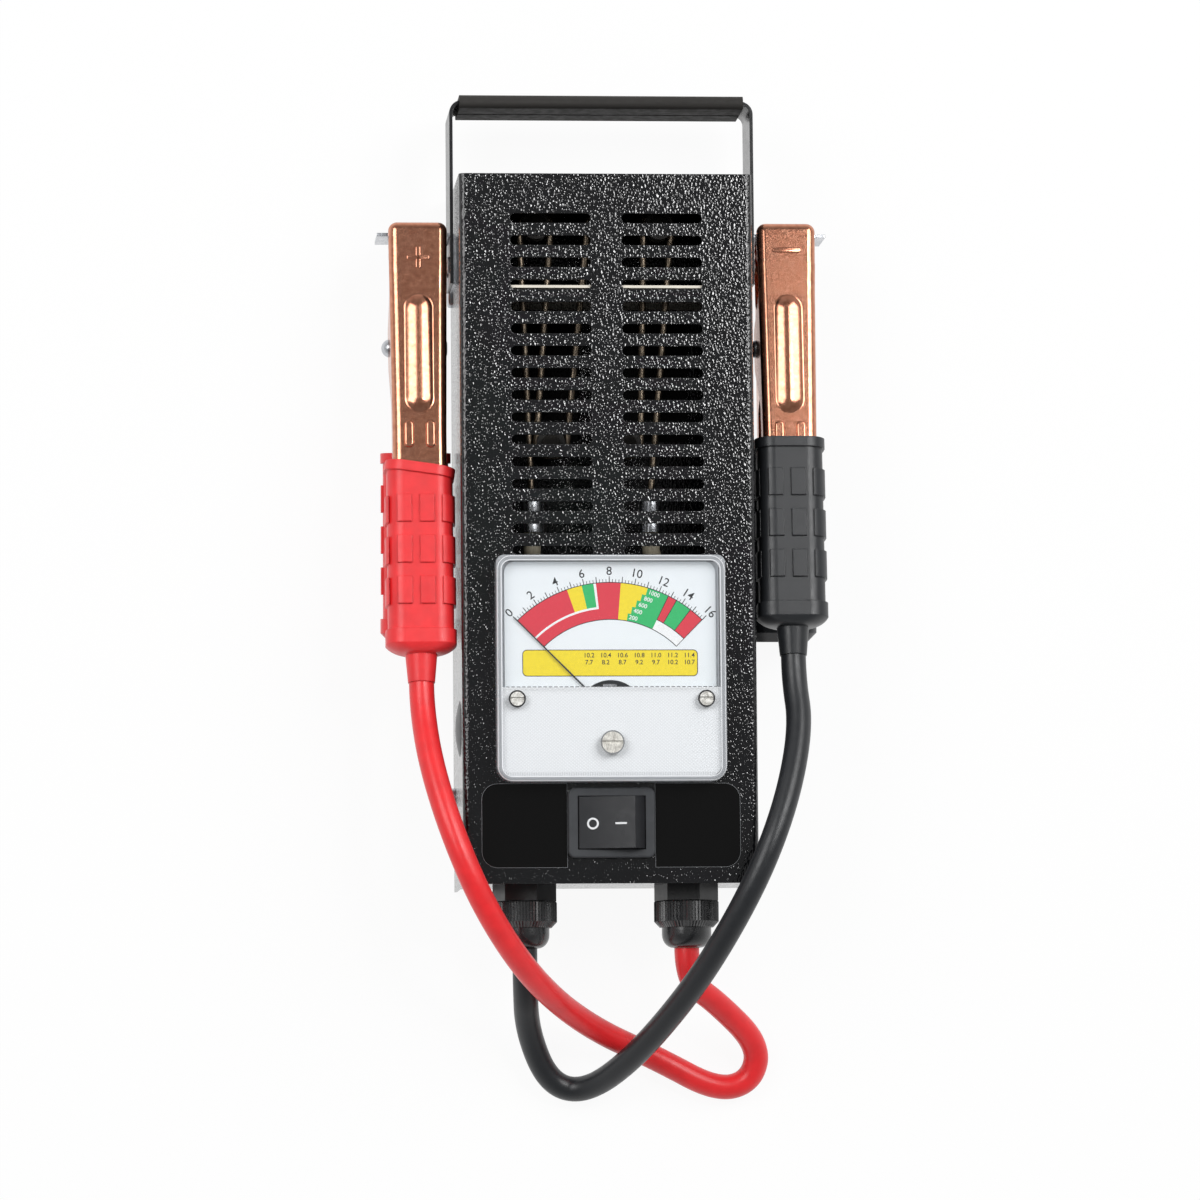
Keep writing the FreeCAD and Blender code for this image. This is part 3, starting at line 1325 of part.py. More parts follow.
def jaw_profile(inset):
    """Side view of the front jaw in Y and Z; an inset draws the hollow inside it."""
    mouth = REST_HALF + MOUTH_RISE
    crest = REST_HALF - TOOTH_OVERLAP
    gullet = crest + TOOTH_DEPTH
    throat = REST_Y - TOOTH_START - MOUTH_STEP
    ear_low = JAW_PIVOT_Y - EAR_HALF
    ear_high = JAW_PIVOT_Y + EAR_HALF
    ear_foot = ear_low - EAR_SLOPE
    drop = inset / math.cos(LEAN)
    outline = [
        (JAW_TIP_Y - inset, JAW_TIP_H - inset, 0),
        (JAW_BEND_Y, JAW_BEND_H - inset, JAW_BEND_ROUND),
        (JAW_END_Y - inset, web_height(JAW_END_Y) - drop, 0),
    ]
    if inset:
        far = -JAW_TIP_H
        outline += [(JAW_END_Y - inset, far, 0), (JAW_TIP_Y - inset, far, 0)]
    else:
        outline += [
            (JAW_END_Y, web_height(JAW_END_Y) - JAW_DEPTH, JAW_CORNER),
            (ear_foot, web_height(ear_foot) - JAW_DEPTH, EAR_ROUND),
            (ear_low, -EAR_DEPTH, EAR_ROUND),
            (ear_high, -EAR_DEPTH, EAR_ROUND),
            (JAW_BEND_Y, mouth, JAW_CORNER),
            (throat, mouth, 0),
        ]
        for i in range(TOOTH_COUNT):
            y = REST_Y - TOOTH_START + i * TOOTH_PITCH
            outline.append((y, crest, 0))
            if i < TOOTH_COUNT - 1:
                outline.append((y + TOOTH_PITCH / 2, gullet, 0))
        outline.append((JAW_TIP_Y, crest, 0))
    points = [Vector(0, y, MID_DEPTH + h) for y, h, radius in outline]
    return rounded_outline(points, [radius for y, h, radius in outline])


def jaw_plan(width_change, inset):
    """Plan view of a jaw: widest at the tip and even along the handle."""
    tip = JAW_TIP_WIDTH / 2 - width_change
    handle = JAW_HANDLE_WIDTH / 2 - width_change
    top = JAW_TIP_Y - inset
    points = [
        Vector(-tip, top, 0),
        Vector(tip, top, 0),
        Vector(handle, JAW_TAPER_Y, 0),
        Vector(handle, JAW_END_Y - inset, 0),
        Vector(-handle, JAW_END_Y - inset, 0),
        Vector(-handle, JAW_TAPER_Y, 0),
    ]
    corner = JAW_TIP_CORNER - inset
    outline = rounded_outline(points, [corner, corner, JAW_TAPER_ROUND, 0, 0, JAW_TAPER_ROUND])
    return plate(outline, Z_AXIS * 2 * CASE_DEPTH)


def jaw_solid(profile):
    """A side view drawn out over more than the width of a jaw."""
    solid = plate(profile, X_AXIS * 2 * JAW_TIP_WIDTH)
    solid.translate(-X_AXIS * JAW_TIP_WIDTH)
    return solid


def web_top(y):
    """Height of a jaw's outer face above the clamp's middle plane, from tip to handle."""
    if y < JAW_BEND_Y:
        return web_height(y)
    share = (y - JAW_BEND_Y) / (JAW_TIP_Y - JAW_BEND_Y)
    return JAW_BEND_H + (JAW_TIP_H - JAW_BEND_H) * share


def soft_edged(solid, inset, radius):
    """A jaw's block with its web rolled over into both sides and the tip."""
    rim = []
    for edge in solid.Edges:
        middle = edge.valueAt((edge.FirstParameter + edge.LastParameter) / 2)
        on_web = abs(MID_DEPTH + web_top(middle.y) - inset - middle.z) < JAW_SHEET / 2
        along_side = abs(middle.x) > JAW_SHEET
        at_tip = middle.y > JAW_TIP_Y - inset - JAW_TIP_CORNER
        if on_web and (along_side or at_tip):
            rim.append(edge)
    return solid.makeFillet(radius, rim)


def raised_rib(low_y, high_y, x, width, rise, shoulder):
    """A rib with round ends on the outer face of a handle that doesn't lean yet."""
    height = MID_DEPTH + JAW_BEND_H - JAW_SHEET / 2
    centre = Vector(x, (low_y + high_y) / 2, height)
    rib = rounded_plate(centre, width, high_y - low_y, width / 2 - PRESS_GAP, JAW_SHEET / 2 + rise)
    edges = [e for e in rib.Edges if e.BoundBox.ZMin > height + rise]
    return rib.makeFillet(shoulder, edges)


def leaning(shape):
    """A shape turned about the bend to the slope of the handle."""
    turned = shape.copy()
    turned.rotate(JAW_HINGE, X_AXIS, -JAW_LEAN)
    return turned


def short_ribs():
    """Two short ribs side by side, just above the grip."""
    top = REST_Y - SHORT_RIB_START
    low = top - SHORT_RIB_LENGTH
    half = SHORT_RIB_GAP / 2
    ribs = []
    for x in (-half, half):
        rib = raised_rib(low, top, x, SHORT_RIB_WIDTH, SHORT_RIB_RISE, SHORT_RIB_SHOULDER)
        ribs.append(leaning(rib))
    return ribs


def long_rib():
    """The long rib, with an arched section and round ends, on a handle that doesn't lean yet."""
    radius = (RIB_WIDTH ** 2 / 4 + RIB_RISE ** 2) / (2 * RIB_RISE)
    web = MID_DEPTH + JAW_BEND_H
    axis = web + RIB_RISE - radius
    high = Vector(0, JAW_BEND_Y - RIB_START - RIB_WIDTH / 2, axis)
    low = high - Y_AXIS * (RIB_LENGTH - RIB_WIDTH)
    arch = cylinder(radius, low, high).fuse([Part.makeSphere(radius, low), Part.makeSphere(radius, high)])
    reach = Vector(RIB_WIDTH, RIB_LENGTH, 0)
    middle = Vector(0, (low.y + high.y) / 2, web - JAW_SHEET / 2)
    return arch.common(box(middle - reach, middle + reach + Z_AXIS * 2 * RIB_RISE))


def with_long_rib(shell):
    """A jaw's shell with the long rib on its handle, which rises smoothly from the web."""
    shell = shell.copy()
    shell.rotate(JAW_HINGE, X_AXIS, JAW_LEAN)
    shell = shell.fuse(long_rib())
    web = MID_DEPTH + JAW_BEND_H
    foot = []
    for edge in shell.Edges:
        bounds = edge.BoundBox
        on_web = abs(bounds.ZMin - web) < FIT / 10 and abs(bounds.ZMax - web) < FIT / 10
        if on_web and max(abs(bounds.XMin), abs(bounds.XMax)) < RIB_WIDTH / 2 + FIT:
            foot.append(edge)
    return leaning(shell.makeFillet(RIB_FOOT, foot))


def jaw_shell(width_change):
    """Folded sheet jaw with its teeth and pressed ribs, before its holes."""
    outer = jaw_solid(jaw_profile(0)).common(jaw_plan(width_change, 0))
    inner = jaw_solid(jaw_profile(JAW_SHEET)).common(jaw_plan(width_change + JAW_SHEET, JAW_SHEET))
    shell = soft_edged(outer, 0, JAW_EDGE).cut(soft_edged(inner, JAW_SHEET, JAW_EDGE - JAW_SHEET))
    notch_y = REST_Y - REST_THICK / 2
    notch_h = REST_HALF + NOTCH_GAP
    far = Vector(JAW_TIP_WIDTH, 0, 0)
    low = Vector(0, notch_y - NOTCH_HALF, MID_DEPTH - notch_h)
    high = Vector(0, notch_y + NOTCH_HALF, MID_DEPTH + notch_h)
    return with_long_rib(shell).fuse(short_ribs()).cut(box(low - far, high + far))


def clamp_pivot(x):
    """A point on the clamp's hinge line."""
    return Vector(x, JAW_PIVOT_Y, MID_DEPTH)


def front_jaw():
    """Outer jaw, towards the front of the case."""
    hole = cylinder(PIN_RADIUS + PRESS_GAP, clamp_pivot(-JAW_TIP_WIDTH), clamp_pivot(JAW_TIP_WIDTH))
    return jaw_shell(0).cut(hole)


def rear_jaw():
    """Jaw that nests inside the front one and swings on the pin."""
    jaw = jaw_shell(JAW_SHEET + JAW_NEST).mirror(Vector(0, 0, MID_DEPTH), Z_AXIS)
    hole = cylinder(PIN_RADIUS + PIN_CLEAR, clamp_pivot(-JAW_TIP_WIDTH), clamp_pivot(JAW_TIP_WIDTH))
    return jaw.cut(hole)


def pivot_rivet():
    """Hinge rivet with a domed head on its left and a flat one on its right."""
    share = (JAW_TIP_Y - JAW_PIVOT_Y) / (JAW_TIP_Y - JAW_TAPER_Y)
    half = (JAW_TIP_WIDTH + (JAW_HANDLE_WIDTH - JAW_TIP_WIDTH) * share) / 2 + FIT / 2
    left = clamp_pivot(-half)
    right = clamp_pivot(half)
    pin = cylinder(PIN_RADIUS, left, right)
    ball = (PIN_HEAD_RADIUS ** 2 + PIN_DOME ** 2) / (2 * PIN_DOME)
    dome = Part.makeSphere(ball, left + X_AXIS * (ball - PIN_DOME))
    dome = dome.common(cylinder(PIN_HEAD_RADIUS, left, left - X_AXIS * 2 * PIN_DOME))
    peen = Part.makeCone(PIN_HEAD_RADIUS, PIN_RADIUS, PIN_PEEN, right, X_AXIS)
    return pin.fuse([dome, peen])


def spring_point(angle, x):
    """A point on the spring's coil; the angle turns from +Y towards +Z."""
    offset = Vector(x, math.cos(angle) * SPRING_RADIUS, math.sin(angle) * SPRING_RADIUS)
    return clamp_pivot(0) + offset


def spring_tangent(angle, climb):
    """The coil's direction where the angle falls and X grows by climb for each radian."""
    return Vector(climb, math.sin(angle) * SPRING_RADIUS, -math.cos(angle) * SPRING_RADIUS).normalize()


def biarc(start, start_way, end, end_way):
    """Two tangent arcs between two points with given directions."""
    gap = end - start
    ways = start_way + end_way
    square = 2 * (1 - start_way.dot(end_way))
    linear = 2 * gap.dot(ways)
    reach = (-linear + math.sqrt(linear ** 2 + 4 * square * gap.dot(gap))) / (2 * square)
    first = start + start_way * reach
    last = end - end_way * reach
    joint = (first + last) / 2
    arcs = []
    for before, corner, after in ((start, first, joint), (joint, last, end)):
        half = (before - corner).getAngle(after - corner) / 2
        radius = (before - corner).Length * math.tan(half)
        enter, middle, leave = corner_arc(before, corner, after, radius)
        arcs.append(Part.Arc(before, middle, after).toShape())
    return arcs


def least_turn_gap(edges):
    """Least clear distance between stretches of the spring's wire that aren't neighbours."""
    places = []
    for edge in edges:
        places += edge.discretize(SPRING_POINTS)
    run = 0.0
    runs = [run]
    for before, after in zip(places, places[1:]):
        run += (after - before).Length
        runs.append(run)
    apart = math.pi * SPRING_RADIUS
    least = run
    for i, place in enumerate(places):
        for j in range(i):
            if runs[i] - runs[j] > apart:
                least = min(least, (place - places[j]).Length)
    return least - 2 * SPRING_WIRE


def jaw_spring():
    """Torsion spring round the pin, with one leg along each handle."""
    splay = math.radians(SPRING_SPLAY)
    first = math.pi / 2 - splay
    sweep = 2 * math.pi * SPRING_TURNS + math.pi - 2 * splay
    steps = int(math.ceil(sweep / (math.pi / 2)))
    climb = SPRING_PITCH / (2 * math.pi)
    shift = -climb * sweep / 2
    places = []
    ways = []
    for i in range(steps + 1):
        turned = sweep * i / steps
        places.append(spring_point(first - turned, shift + climb * turned))
        ways.append(spring_tangent(first - turned, climb if 0 < i < steps else 0))
    edges = [Part.LineSegment(places[0] - ways[0] * SPRING_LEG, places[0]).toShape()]
    for i in range(steps):
        edges += biarc(places[i], ways[i], places[i + 1], ways[i + 1])
    edges.append(Part.LineSegment(places[-1], places[-1] + ways[-1] * SPRING_LEG).toShape())
    print("jaw_spring least gap between turns", round(least_turn_gap(edges), 2))
    return sweep_tube(edges, SPRING_WIRE)


# Vinyl grips

def grip_outline(width, thickness, radius, y):
    """Cross-section of a grip at a place along it."""
    centre = Vector(0, y, MID_DEPTH + JAW_BEND_H - GRIP_SINK)
    across = X_AXIS * (width / 2)
    up = Z_AXIS * (thickness / 2)
    points = [centre - across - up, centre + across - up, centre + across + up, centre - across + up]
    return rounded_outline(points, [radius] * 4)


def grip_block(width, thickness, radius, top, length):
    """A straight stretch of a grip, from a place down along it."""
    return plate(grip_outline(width, thickness, radius, top), -Y_AXIS * length)


def grip_pads(top):
    """Raised pads in rows along the outer half of a grip."""
    rise = 2 * PAD_RISE
    swell = grip_block(GRIP_WIDTH + rise, GRIP_THICK + rise, GRIP_ROUND + PAD_RISE, top, GRIP_BODY)
    middle = MID_DEPTH + JAW_BEND_H - GRIP_SINK
    pads = []
    for row in range(PAD_ROWS):
        high = top - PAD_START - row * PAD_ALONG
        for column in range(PAD_COLUMNS):
            x = (column - (PAD_COLUMNS - 1) / 2) * PAD_ACROSS + PAD_SHIFT
            corner = Vector(x - PAD_WIDTH / 2, high - PAD_LENGTH, middle - PAD_WIDTH / 2)
            pads.append(box(corner, corner + Vector(PAD_WIDTH, PAD_LENGTH, GRIP_THICK)).common(swell))
    return pads


def grip_pocket(top, handle_width):
    """The room that a jaw's handle takes up inside its grip."""
    half = X_AXIS * (handle_width / 2 + PRESS_GAP)
    web = MID_DEPTH + JAW_BEND_H
    low = Vector(0, top + GRIP_RIM, web - JAW_DEPTH - PRESS_GAP)
    high = Vector(0, top + GRIP_RIM, web + PRESS_GAP)
    outline = rounded_outline([low - half, low + half, high + half, high - half], [0, 0, JAW_EDGE, JAW_EDGE])
    return plate(outline, Y_AXIS * (grip_pocket_end() - top - GRIP_RIM))


def grip_neck(shoulder):
    """Round end of a grip with a neck for a lead."""
    wide = GRIP_WIDTH + 2 * GRIP_BAND
    thick = GRIP_THICK + 2 * GRIP_BAND
    narrow = GRIP_NECK_WIDTH
    mouth = GRIP_MOUTH_WIDTH
    neck = shoulder - GRIP_SHOULDER
    turn = shoulder - GRIP_SHOULDER * SHOULDER_SHARE
    turn_wide = wide + (narrow - wide) * TURN_SHARE
    turn_thick = thick + (narrow - thick) * TURN_SHARE
    middle = grip_outline(turn_wide, turn_thick, GRIP_ROUND + GRIP_BAND, turn)
    root = grip_outline(narrow, narrow, narrow * NECK_ROUND, neck)
    end = Part.makeLoft([grip_outline(wide, thick, GRIP_ROUND + GRIP_BAND, shoulder), middle, root], True)
    tip = grip_outline(mouth, mouth, mouth * NECK_ROUND, neck - GRIP_NECK)
    return [end, Part.makeLoft([root, tip], True)]


def grip_cap(shoulder):
    """Closed end of a grip without a lead."""
    wide = GRIP_WIDTH + 2 * GRIP_BAND
    thick = GRIP_THICK + 2 * GRIP_BAND
    start = grip_outline(wide, thick, GRIP_ROUND + GRIP_BAND, shoulder)
    end = grip_outline(GRIP_END_WIDTH, GRIP_END_THICK, GRIP_END_ROUND, shoulder - GRIP_SHOULDER)
    return [Part.makeLoft([start, end], True)]


def grip_rim(top, slant):
    """Thicker rim of a grip, which sits askew by a slant."""
    wide = GRIP_WIDTH + 2 * GRIP_BAND
    thick = GRIP_THICK + 2 * GRIP_BAND
    rim = grip_block(wide, thick, GRIP_ROUND + GRIP_BAND, top, GRIP_RIM)
    rim.rotate(Vector(0, top - GRIP_RIM / 2, 0), Z_AXIS, -slant)
    return rim


def grip(drop, handle_width, with_neck, slant):
    """Vinyl grip with a rim, pads and a collar, over a jaw's handle."""
    top = REST_Y - drop
    collar = top - GRIP_BODY
    shoulder = collar - GRIP_COLLAR
    wide = GRIP_WIDTH + 2 * GRIP_BAND
    thick = GRIP_THICK + 2 * GRIP_BAND
    start = top - GRIP_RIM / 2
    body = grip_block(GRIP_WIDTH, GRIP_THICK, GRIP_ROUND, start, start - shoulder)
    added = [
        grip_rim(top, slant),
        grip_block(wide, thick, GRIP_ROUND + GRIP_BAND, collar, GRIP_COLLAR),
    ]
    added += grip_neck(shoulder) if with_neck else grip_cap(shoulder)
    solid = body.fuse(added + grip_pads(top)).cut(grip_pocket(top, handle_width))
    return leaning(solid).cut(short_ribs())


def grip_pocket_end():
    """Where a grip's pocket ends, just past the end of the jaw's handle."""
    return JAW_BEND_Y - (JAW_BEND_Y - JAW_END_Y) / math.cos(LEAN) - POCKET_GAP


def front_grip(drop, slant):
    """Grip on a front jaw."""
    return grip(drop, JAW_HANDLE_WIDTH, True, slant)


def rear_grip():
    """Grip on a rear jaw, whose handle is narrower."""
    narrow = JAW_HANDLE_WIDTH - 2 * (JAW_SHEET + JAW_NEST)
    return grip(REAR_GRIP_DROP, narrow, False, 0).mirror(Vector(0, 0, MID_DEPTH), Z_AXIS)


# All pieces

def placed(shape, x):
    """A clamp piece moved sideways to its clamp."""
    moved = shape.copy()
    moved.translate(X_AXIS * x)
    return moved


def clamp_pieces(colour, x, drop, slant):
    """The pieces of one clamp."""
    return {
        colour + "_front_jaw": placed(front_jaw(), x),
        colour + "_rear_jaw": placed(rear_jaw(), x),
        colour + "_pivot_rivet": placed(pivot_rivet(), x),
        colour + "_jaw_spring": placed(jaw_spring(), x),
        colour + "_front_grip": placed(front_grip(drop, slant), x),
        colour + "_rear_grip": placed(rear_grip(), x),
    }


def gland_pieces(colour, x):
    """The pieces of one cable gland."""
    return {
        colour + "_gland_body": gland_body(x),
        colour + "_gland_nut": gland_nut(x),
        colour + "_gland_seal": gland_seal(x),
        colour + "_gland_locknut": gland_locknut(x),
    }


def all_pieces():
    """Every piece of the tester by name."""
    pieces = {
        "front_cover": front_cover(),
        "rear_chassis": rear_chassis(),
        "cover_screws": cover_screws(),
        "side_plug": side_plug(),
        "handle_strap": handle_strap(),
        "handle_sleeve": handle_sleeve(),
        "handle_rivets": handle_rivets(),
        "left_clamp_rest": mirrored_left(clamp_rest()),
        "right_clamp_rest": clamp_rest(),
        "meter_base": meter_base(),
        "meter_cover": meter_cover(),
        "meter_apron": meter_apron(),
        "meter_cover_screws": meter_cover_screws(),
        "meter_dial": meter_dial(),
        "meter_nuts": meter_nuts(),
        "meter_terminals": meter_terminals(),
        "meter_magnet": meter_magnet(),
        "meter_core": meter_core(),
        "meter_bridge": meter_bridge(),
        "moving_coil": moving_coil(),
        "meter_needle": meter_needle(),
        "zero_screw": zero_screw(),
        "switch_housing": switch_housing(),
        "switch_rocker": switch_rocker(),
        "switch_contact": switch_contact(),
        "switch_terminals": switch_terminals(),
        "switch_lugs": switch_lugs(),
        "load_wire": load_wire(),
        "load_insulators": load_insulators(),
        "insulator_posts": insulator_posts(),
        "insulator_board": insulator_board(),
        "load_ferrules": load_ferrules(),
        "red_lead": red_lead(),
        "black_lead": black_lead(),
        "red_lead_tail": red_lead_tail(),
        "black_lead_tail": black_lead_tail(),
        "switch_jumper": switch_jumper(),
    }
    pieces.update(gland_pieces("red", GLAND_X))
    pieces.update(gland_pieces("black", -GLAND_X))
    pieces.update(clamp_pieces("red", -CLAMP_X, RED_GRIP_DROP, RED_RIM_SLANT))
    pieces.update(clamp_pieces("black", CLAMP_X, BLACK_GRIP_DROP, BLACK_RIM_SLANT))
    return pieces


os.makedirs("parts", exist_ok=True)
for node, shape in all_pieces().items():
    if not shape.isValid():
        print("not valid:", node)
    shape.exportStep("parts/" + node + ".step")
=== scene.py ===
"""Dresses the battery tester: finishes, dial print, stickers, leads, studio and camera, all in metres."""
import json
import logging
import math
from collections.abc import Callable
from dataclasses import dataclass
from enum import Enum

import bpy
from mathutils import Matrix, Vector

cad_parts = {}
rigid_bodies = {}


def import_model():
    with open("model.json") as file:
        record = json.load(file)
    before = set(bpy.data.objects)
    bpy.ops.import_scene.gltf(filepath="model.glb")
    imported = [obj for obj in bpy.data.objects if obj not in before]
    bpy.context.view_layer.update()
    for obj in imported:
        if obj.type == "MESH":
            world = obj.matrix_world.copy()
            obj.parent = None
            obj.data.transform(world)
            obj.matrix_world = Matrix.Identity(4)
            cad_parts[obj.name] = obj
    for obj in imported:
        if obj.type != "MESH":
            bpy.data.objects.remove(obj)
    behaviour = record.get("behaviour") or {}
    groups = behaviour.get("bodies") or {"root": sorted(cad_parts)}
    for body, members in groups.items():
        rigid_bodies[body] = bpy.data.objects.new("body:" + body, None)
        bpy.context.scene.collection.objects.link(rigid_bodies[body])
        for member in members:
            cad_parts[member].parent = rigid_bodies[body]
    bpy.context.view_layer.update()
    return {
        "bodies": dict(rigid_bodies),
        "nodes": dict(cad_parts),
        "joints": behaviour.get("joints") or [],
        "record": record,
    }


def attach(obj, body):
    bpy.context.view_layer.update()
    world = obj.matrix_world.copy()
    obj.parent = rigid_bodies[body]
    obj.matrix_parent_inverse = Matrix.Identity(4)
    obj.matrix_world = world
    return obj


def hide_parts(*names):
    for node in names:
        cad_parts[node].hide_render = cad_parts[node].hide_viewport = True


MM = 0.001
LOG = logging.getLogger("tester")
PICTURE = 1200
SENSOR = 36.0

# Range that holds most values of a noise pattern, and radians that a wave pattern runs per unit of scale.
NOISE_MIDDLE = (0.32, 0.68)
WAVE_RATE = 20.0
# Numbers of the colour sockets of a mix node.
MIX_COLOURS = (6, 7)
MIX_RESULT = 2
# Samples of a softened edge, and steps round a plate's corner, a ring and a curve of a figure.
EDGE_SAMPLES = 4
CORNER_STEPS = 8
RING_STEPS = 48
TYPE_STEPS = 4
# Distance at which points merge.
WELD = 0.001 * MM

Colour = tuple[float, float, float, float]
Point = tuple[float, float, float]
Flat = tuple[float, float]
Piece = bpy.types.Object
Material = bpy.types.Material
Socket = bpy.types.NodeSocket

WHITE: Colour = (1.0, 1.0, 1.0, 1.0)


class Body(Enum):
    """Moving bodies that new pieces ride on."""

    CASE = "case"
    ROCKER = "rocker"
    ZERO = "zero_adjuster"


def shade(red: int, green: int, blue: int) -> Colour:
    """Turns a colour as seen on a screen into scene-linear values.

    Args:
        red: Red from 0 to 255.
        green: Green from 0 to 255.
        blue: Blue from 0 to 255.

    Returns:
        The linear colour with full alpha.
    """
    linear = []
    for value in (red, green, blue):
        share = value / 255
        linear.append(share / 12.92 if share <= 0.04045 else ((share + 0.055) / 1.055) ** 2.4)
    return (linear[0], linear[1], linear[2], 1.0)


def dimmed(colour: Colour, share: float) -> Colour:
    """Gives a colour scaled by a share, with its alpha kept."""
    return (colour[0] * share, colour[1] * share, colour[2] * share, colour[3])


class Graph:
    """The node tree of one material, with short calls to add and link nodes."""

    def __init__(self, name: str) -> None:
        """Starts a material with a plain principled shader."""
        self.material = bpy.data.materials.new(name)
        self.material.use_nodes = True
        self.tree = self.material.node_tree
        self.shader = self.tree.nodes["Principled BSDF"]
        self.output = self.tree.nodes["Material Output"]

    def node(self, kind: str, **inputs: object) -> bpy.types.Node:
        """Adds a node and sets its inputs.

        Args:
            kind: Node type without its prefix.
            **inputs: Input values, with the spaces of socket names written as underscores.

        Returns:
            The new node.
        """
        made = self.tree.nodes.new("ShaderNode" + kind)
        for name, value in inputs.items():
            made.inputs[name.replace("_", " ")].default_value = value
        return made

    def link(self, source: Socket, target: Socket) -> None:
        """Joins two sockets."""
        self.tree.links.new(source, target)

    def feed(self, name: str, source: Socket) -> None:
        """Links a socket to one of the shader's own inputs."""
        self.link(source, self.shader.inputs[name])

    def set(self, **values: object) -> None:
        """Sets constants on the shader's own sockets."""
        for name, value in values.items():
            self.shader.inputs[name.replace("_", " ")].default_value = value

    def place(self, stretch: Point = (1.0, 1.0, 1.0), turn: float = 0.0) -> Socket:
        """Gives object coordinates, stretched along each axis and turned about Z.

        Args:
            stretch: Scale of the pattern along X, Y and Z.
            turn: Turn about Z in degrees.

        Returns:
            The vector socket.
        """
        mapping = self.node("Mapping", Scale=stretch, Rotation=(0.0, 0.0, math.radians(turn)))
        self.link(self.node("TexCoord").outputs["Object"], mapping.inputs["Vector"])
        return mapping.outputs["Vector"]

    def noise(self, size: float, detail: float = 3.0, stretch: Point = (1.0, 1.0, 1.0)) -> Socket:
        """Adds a noise pattern.

        Args:
            size: Size of the pattern's blotches.
            detail: Number of finer layers.
            stretch: Scale of the pattern along X, Y and Z.

        Returns:
            The factor socket.
        """
        made = self.node("TexNoise", Scale=1 / size, Detail=detail)
        self.link(self.place(stretch), made.inputs["Vector"])
        return made.outputs["Fac"]

    def math(self, operation: str, first: Socket | float, second: Socket | float = 0.0) -> Socket:
        """Adds a math node.

        Args:
            operation: Name of the operation.
            first: First value.
            second: Second value.

        Returns:
            The result socket.
        """
        made = self.tree.nodes.new("ShaderNodeMath")
        made.operation = operation
        for slot, value in enumerate((first, second)):
            if isinstance(value, float):
                made.inputs[slot].default_value = value
            else:
                self.link(value, made.inputs[slot])
        return made.outputs[0]

    def ramp(self, value: Socket, start: float, end: float, low: float, high: float) -> Socket:
        """Maps a range of values onto another and clamps it.

        Args:
            value: Value socket.
            start: Value that gives low.
            end: Value that gives high.
            low: Result at start.
            high: Result at end.

        Returns:
            The result socket.
        """
        made = self.node("MapRange", From_Min=start, From_Max=end, To_Min=low, To_Max=high)
        self.link(value, made.inputs["Value"])
        return made.outputs["Result"]

    def waves(self, pitch: float, turn: float) -> Socket:
        """Adds straight waves across a direction.

        Args:
            pitch: Length of a wave.
            turn: Direction in degrees.

        Returns:
            The factor socket.
        """
        made = self.node("TexWave", Scale=math.tau / WAVE_RATE / pitch, Distortion=0.0)
        self.link(self.place(turn=turn), made.inputs["Vector"])
        return made.outputs["Fac"]

    def spread(self, value: Socket, low: float, high: float) -> Socket:
        """Maps a noise factor's middle range onto two values."""
        return self.ramp(value, *NOISE_MIDDLE, low, high)

    def blend(self, factor: Socket, first: Colour | Socket, second: Colour | Socket) -> Socket:
        """Mixes two colours.

        Args:
            factor: 0 gives the first colour and 1 the second.
            first: First colour.
            second: Second colour.

        Returns:
            The colour socket.
        """
        made = self.tree.nodes.new("ShaderNodeMix")
        made.data_type = "RGBA"
        self.link(factor, made.inputs[0])
        for slot, value in zip(MIX_COLOURS, (first, second)):
            if isinstance(value, tuple):
                made.inputs[slot].default_value = value
            else:
                self.link(value, made.inputs[slot])
        return made.outputs[MIX_RESULT]

    def bump(self, height: Socket, depth: float, strength: float = 1.0, edge: float = 0.0) -> None:
        """Roughens the shader's normal, and softens sharp edges if asked.

        Args:
            height: Height socket.
            depth: Depth of the relief.
            strength: Share of the relief that shows.
            edge: Radius of softened edges.
        """
        made = self.node("Bump", Strength=strength, Distance=depth)
        self.link(height, made.inputs["Height"])
        if edge:
            soft = self.node("Bevel", Radius=edge)
            soft.samples = EDGE_SAMPLES
            self.link(soft.outputs["Normal"], made.inputs["Normal"])
        self.feed("Normal", made.outputs["Normal"])

    def mottle(self, noise: Socket, first: Colour, second: Colour) -> None:
        """Colours the shader with a blotchy mix of two colours."""
        self.feed("Base Color", self.blend(self.spread(noise, 0.0, 1.0), first, second))

    def shine(self, noise: Socket, low: float, high: float) -> None:
        """Varies the shader's roughness between two values."""
        self.feed("Roughness", self.spread(noise, low, high))


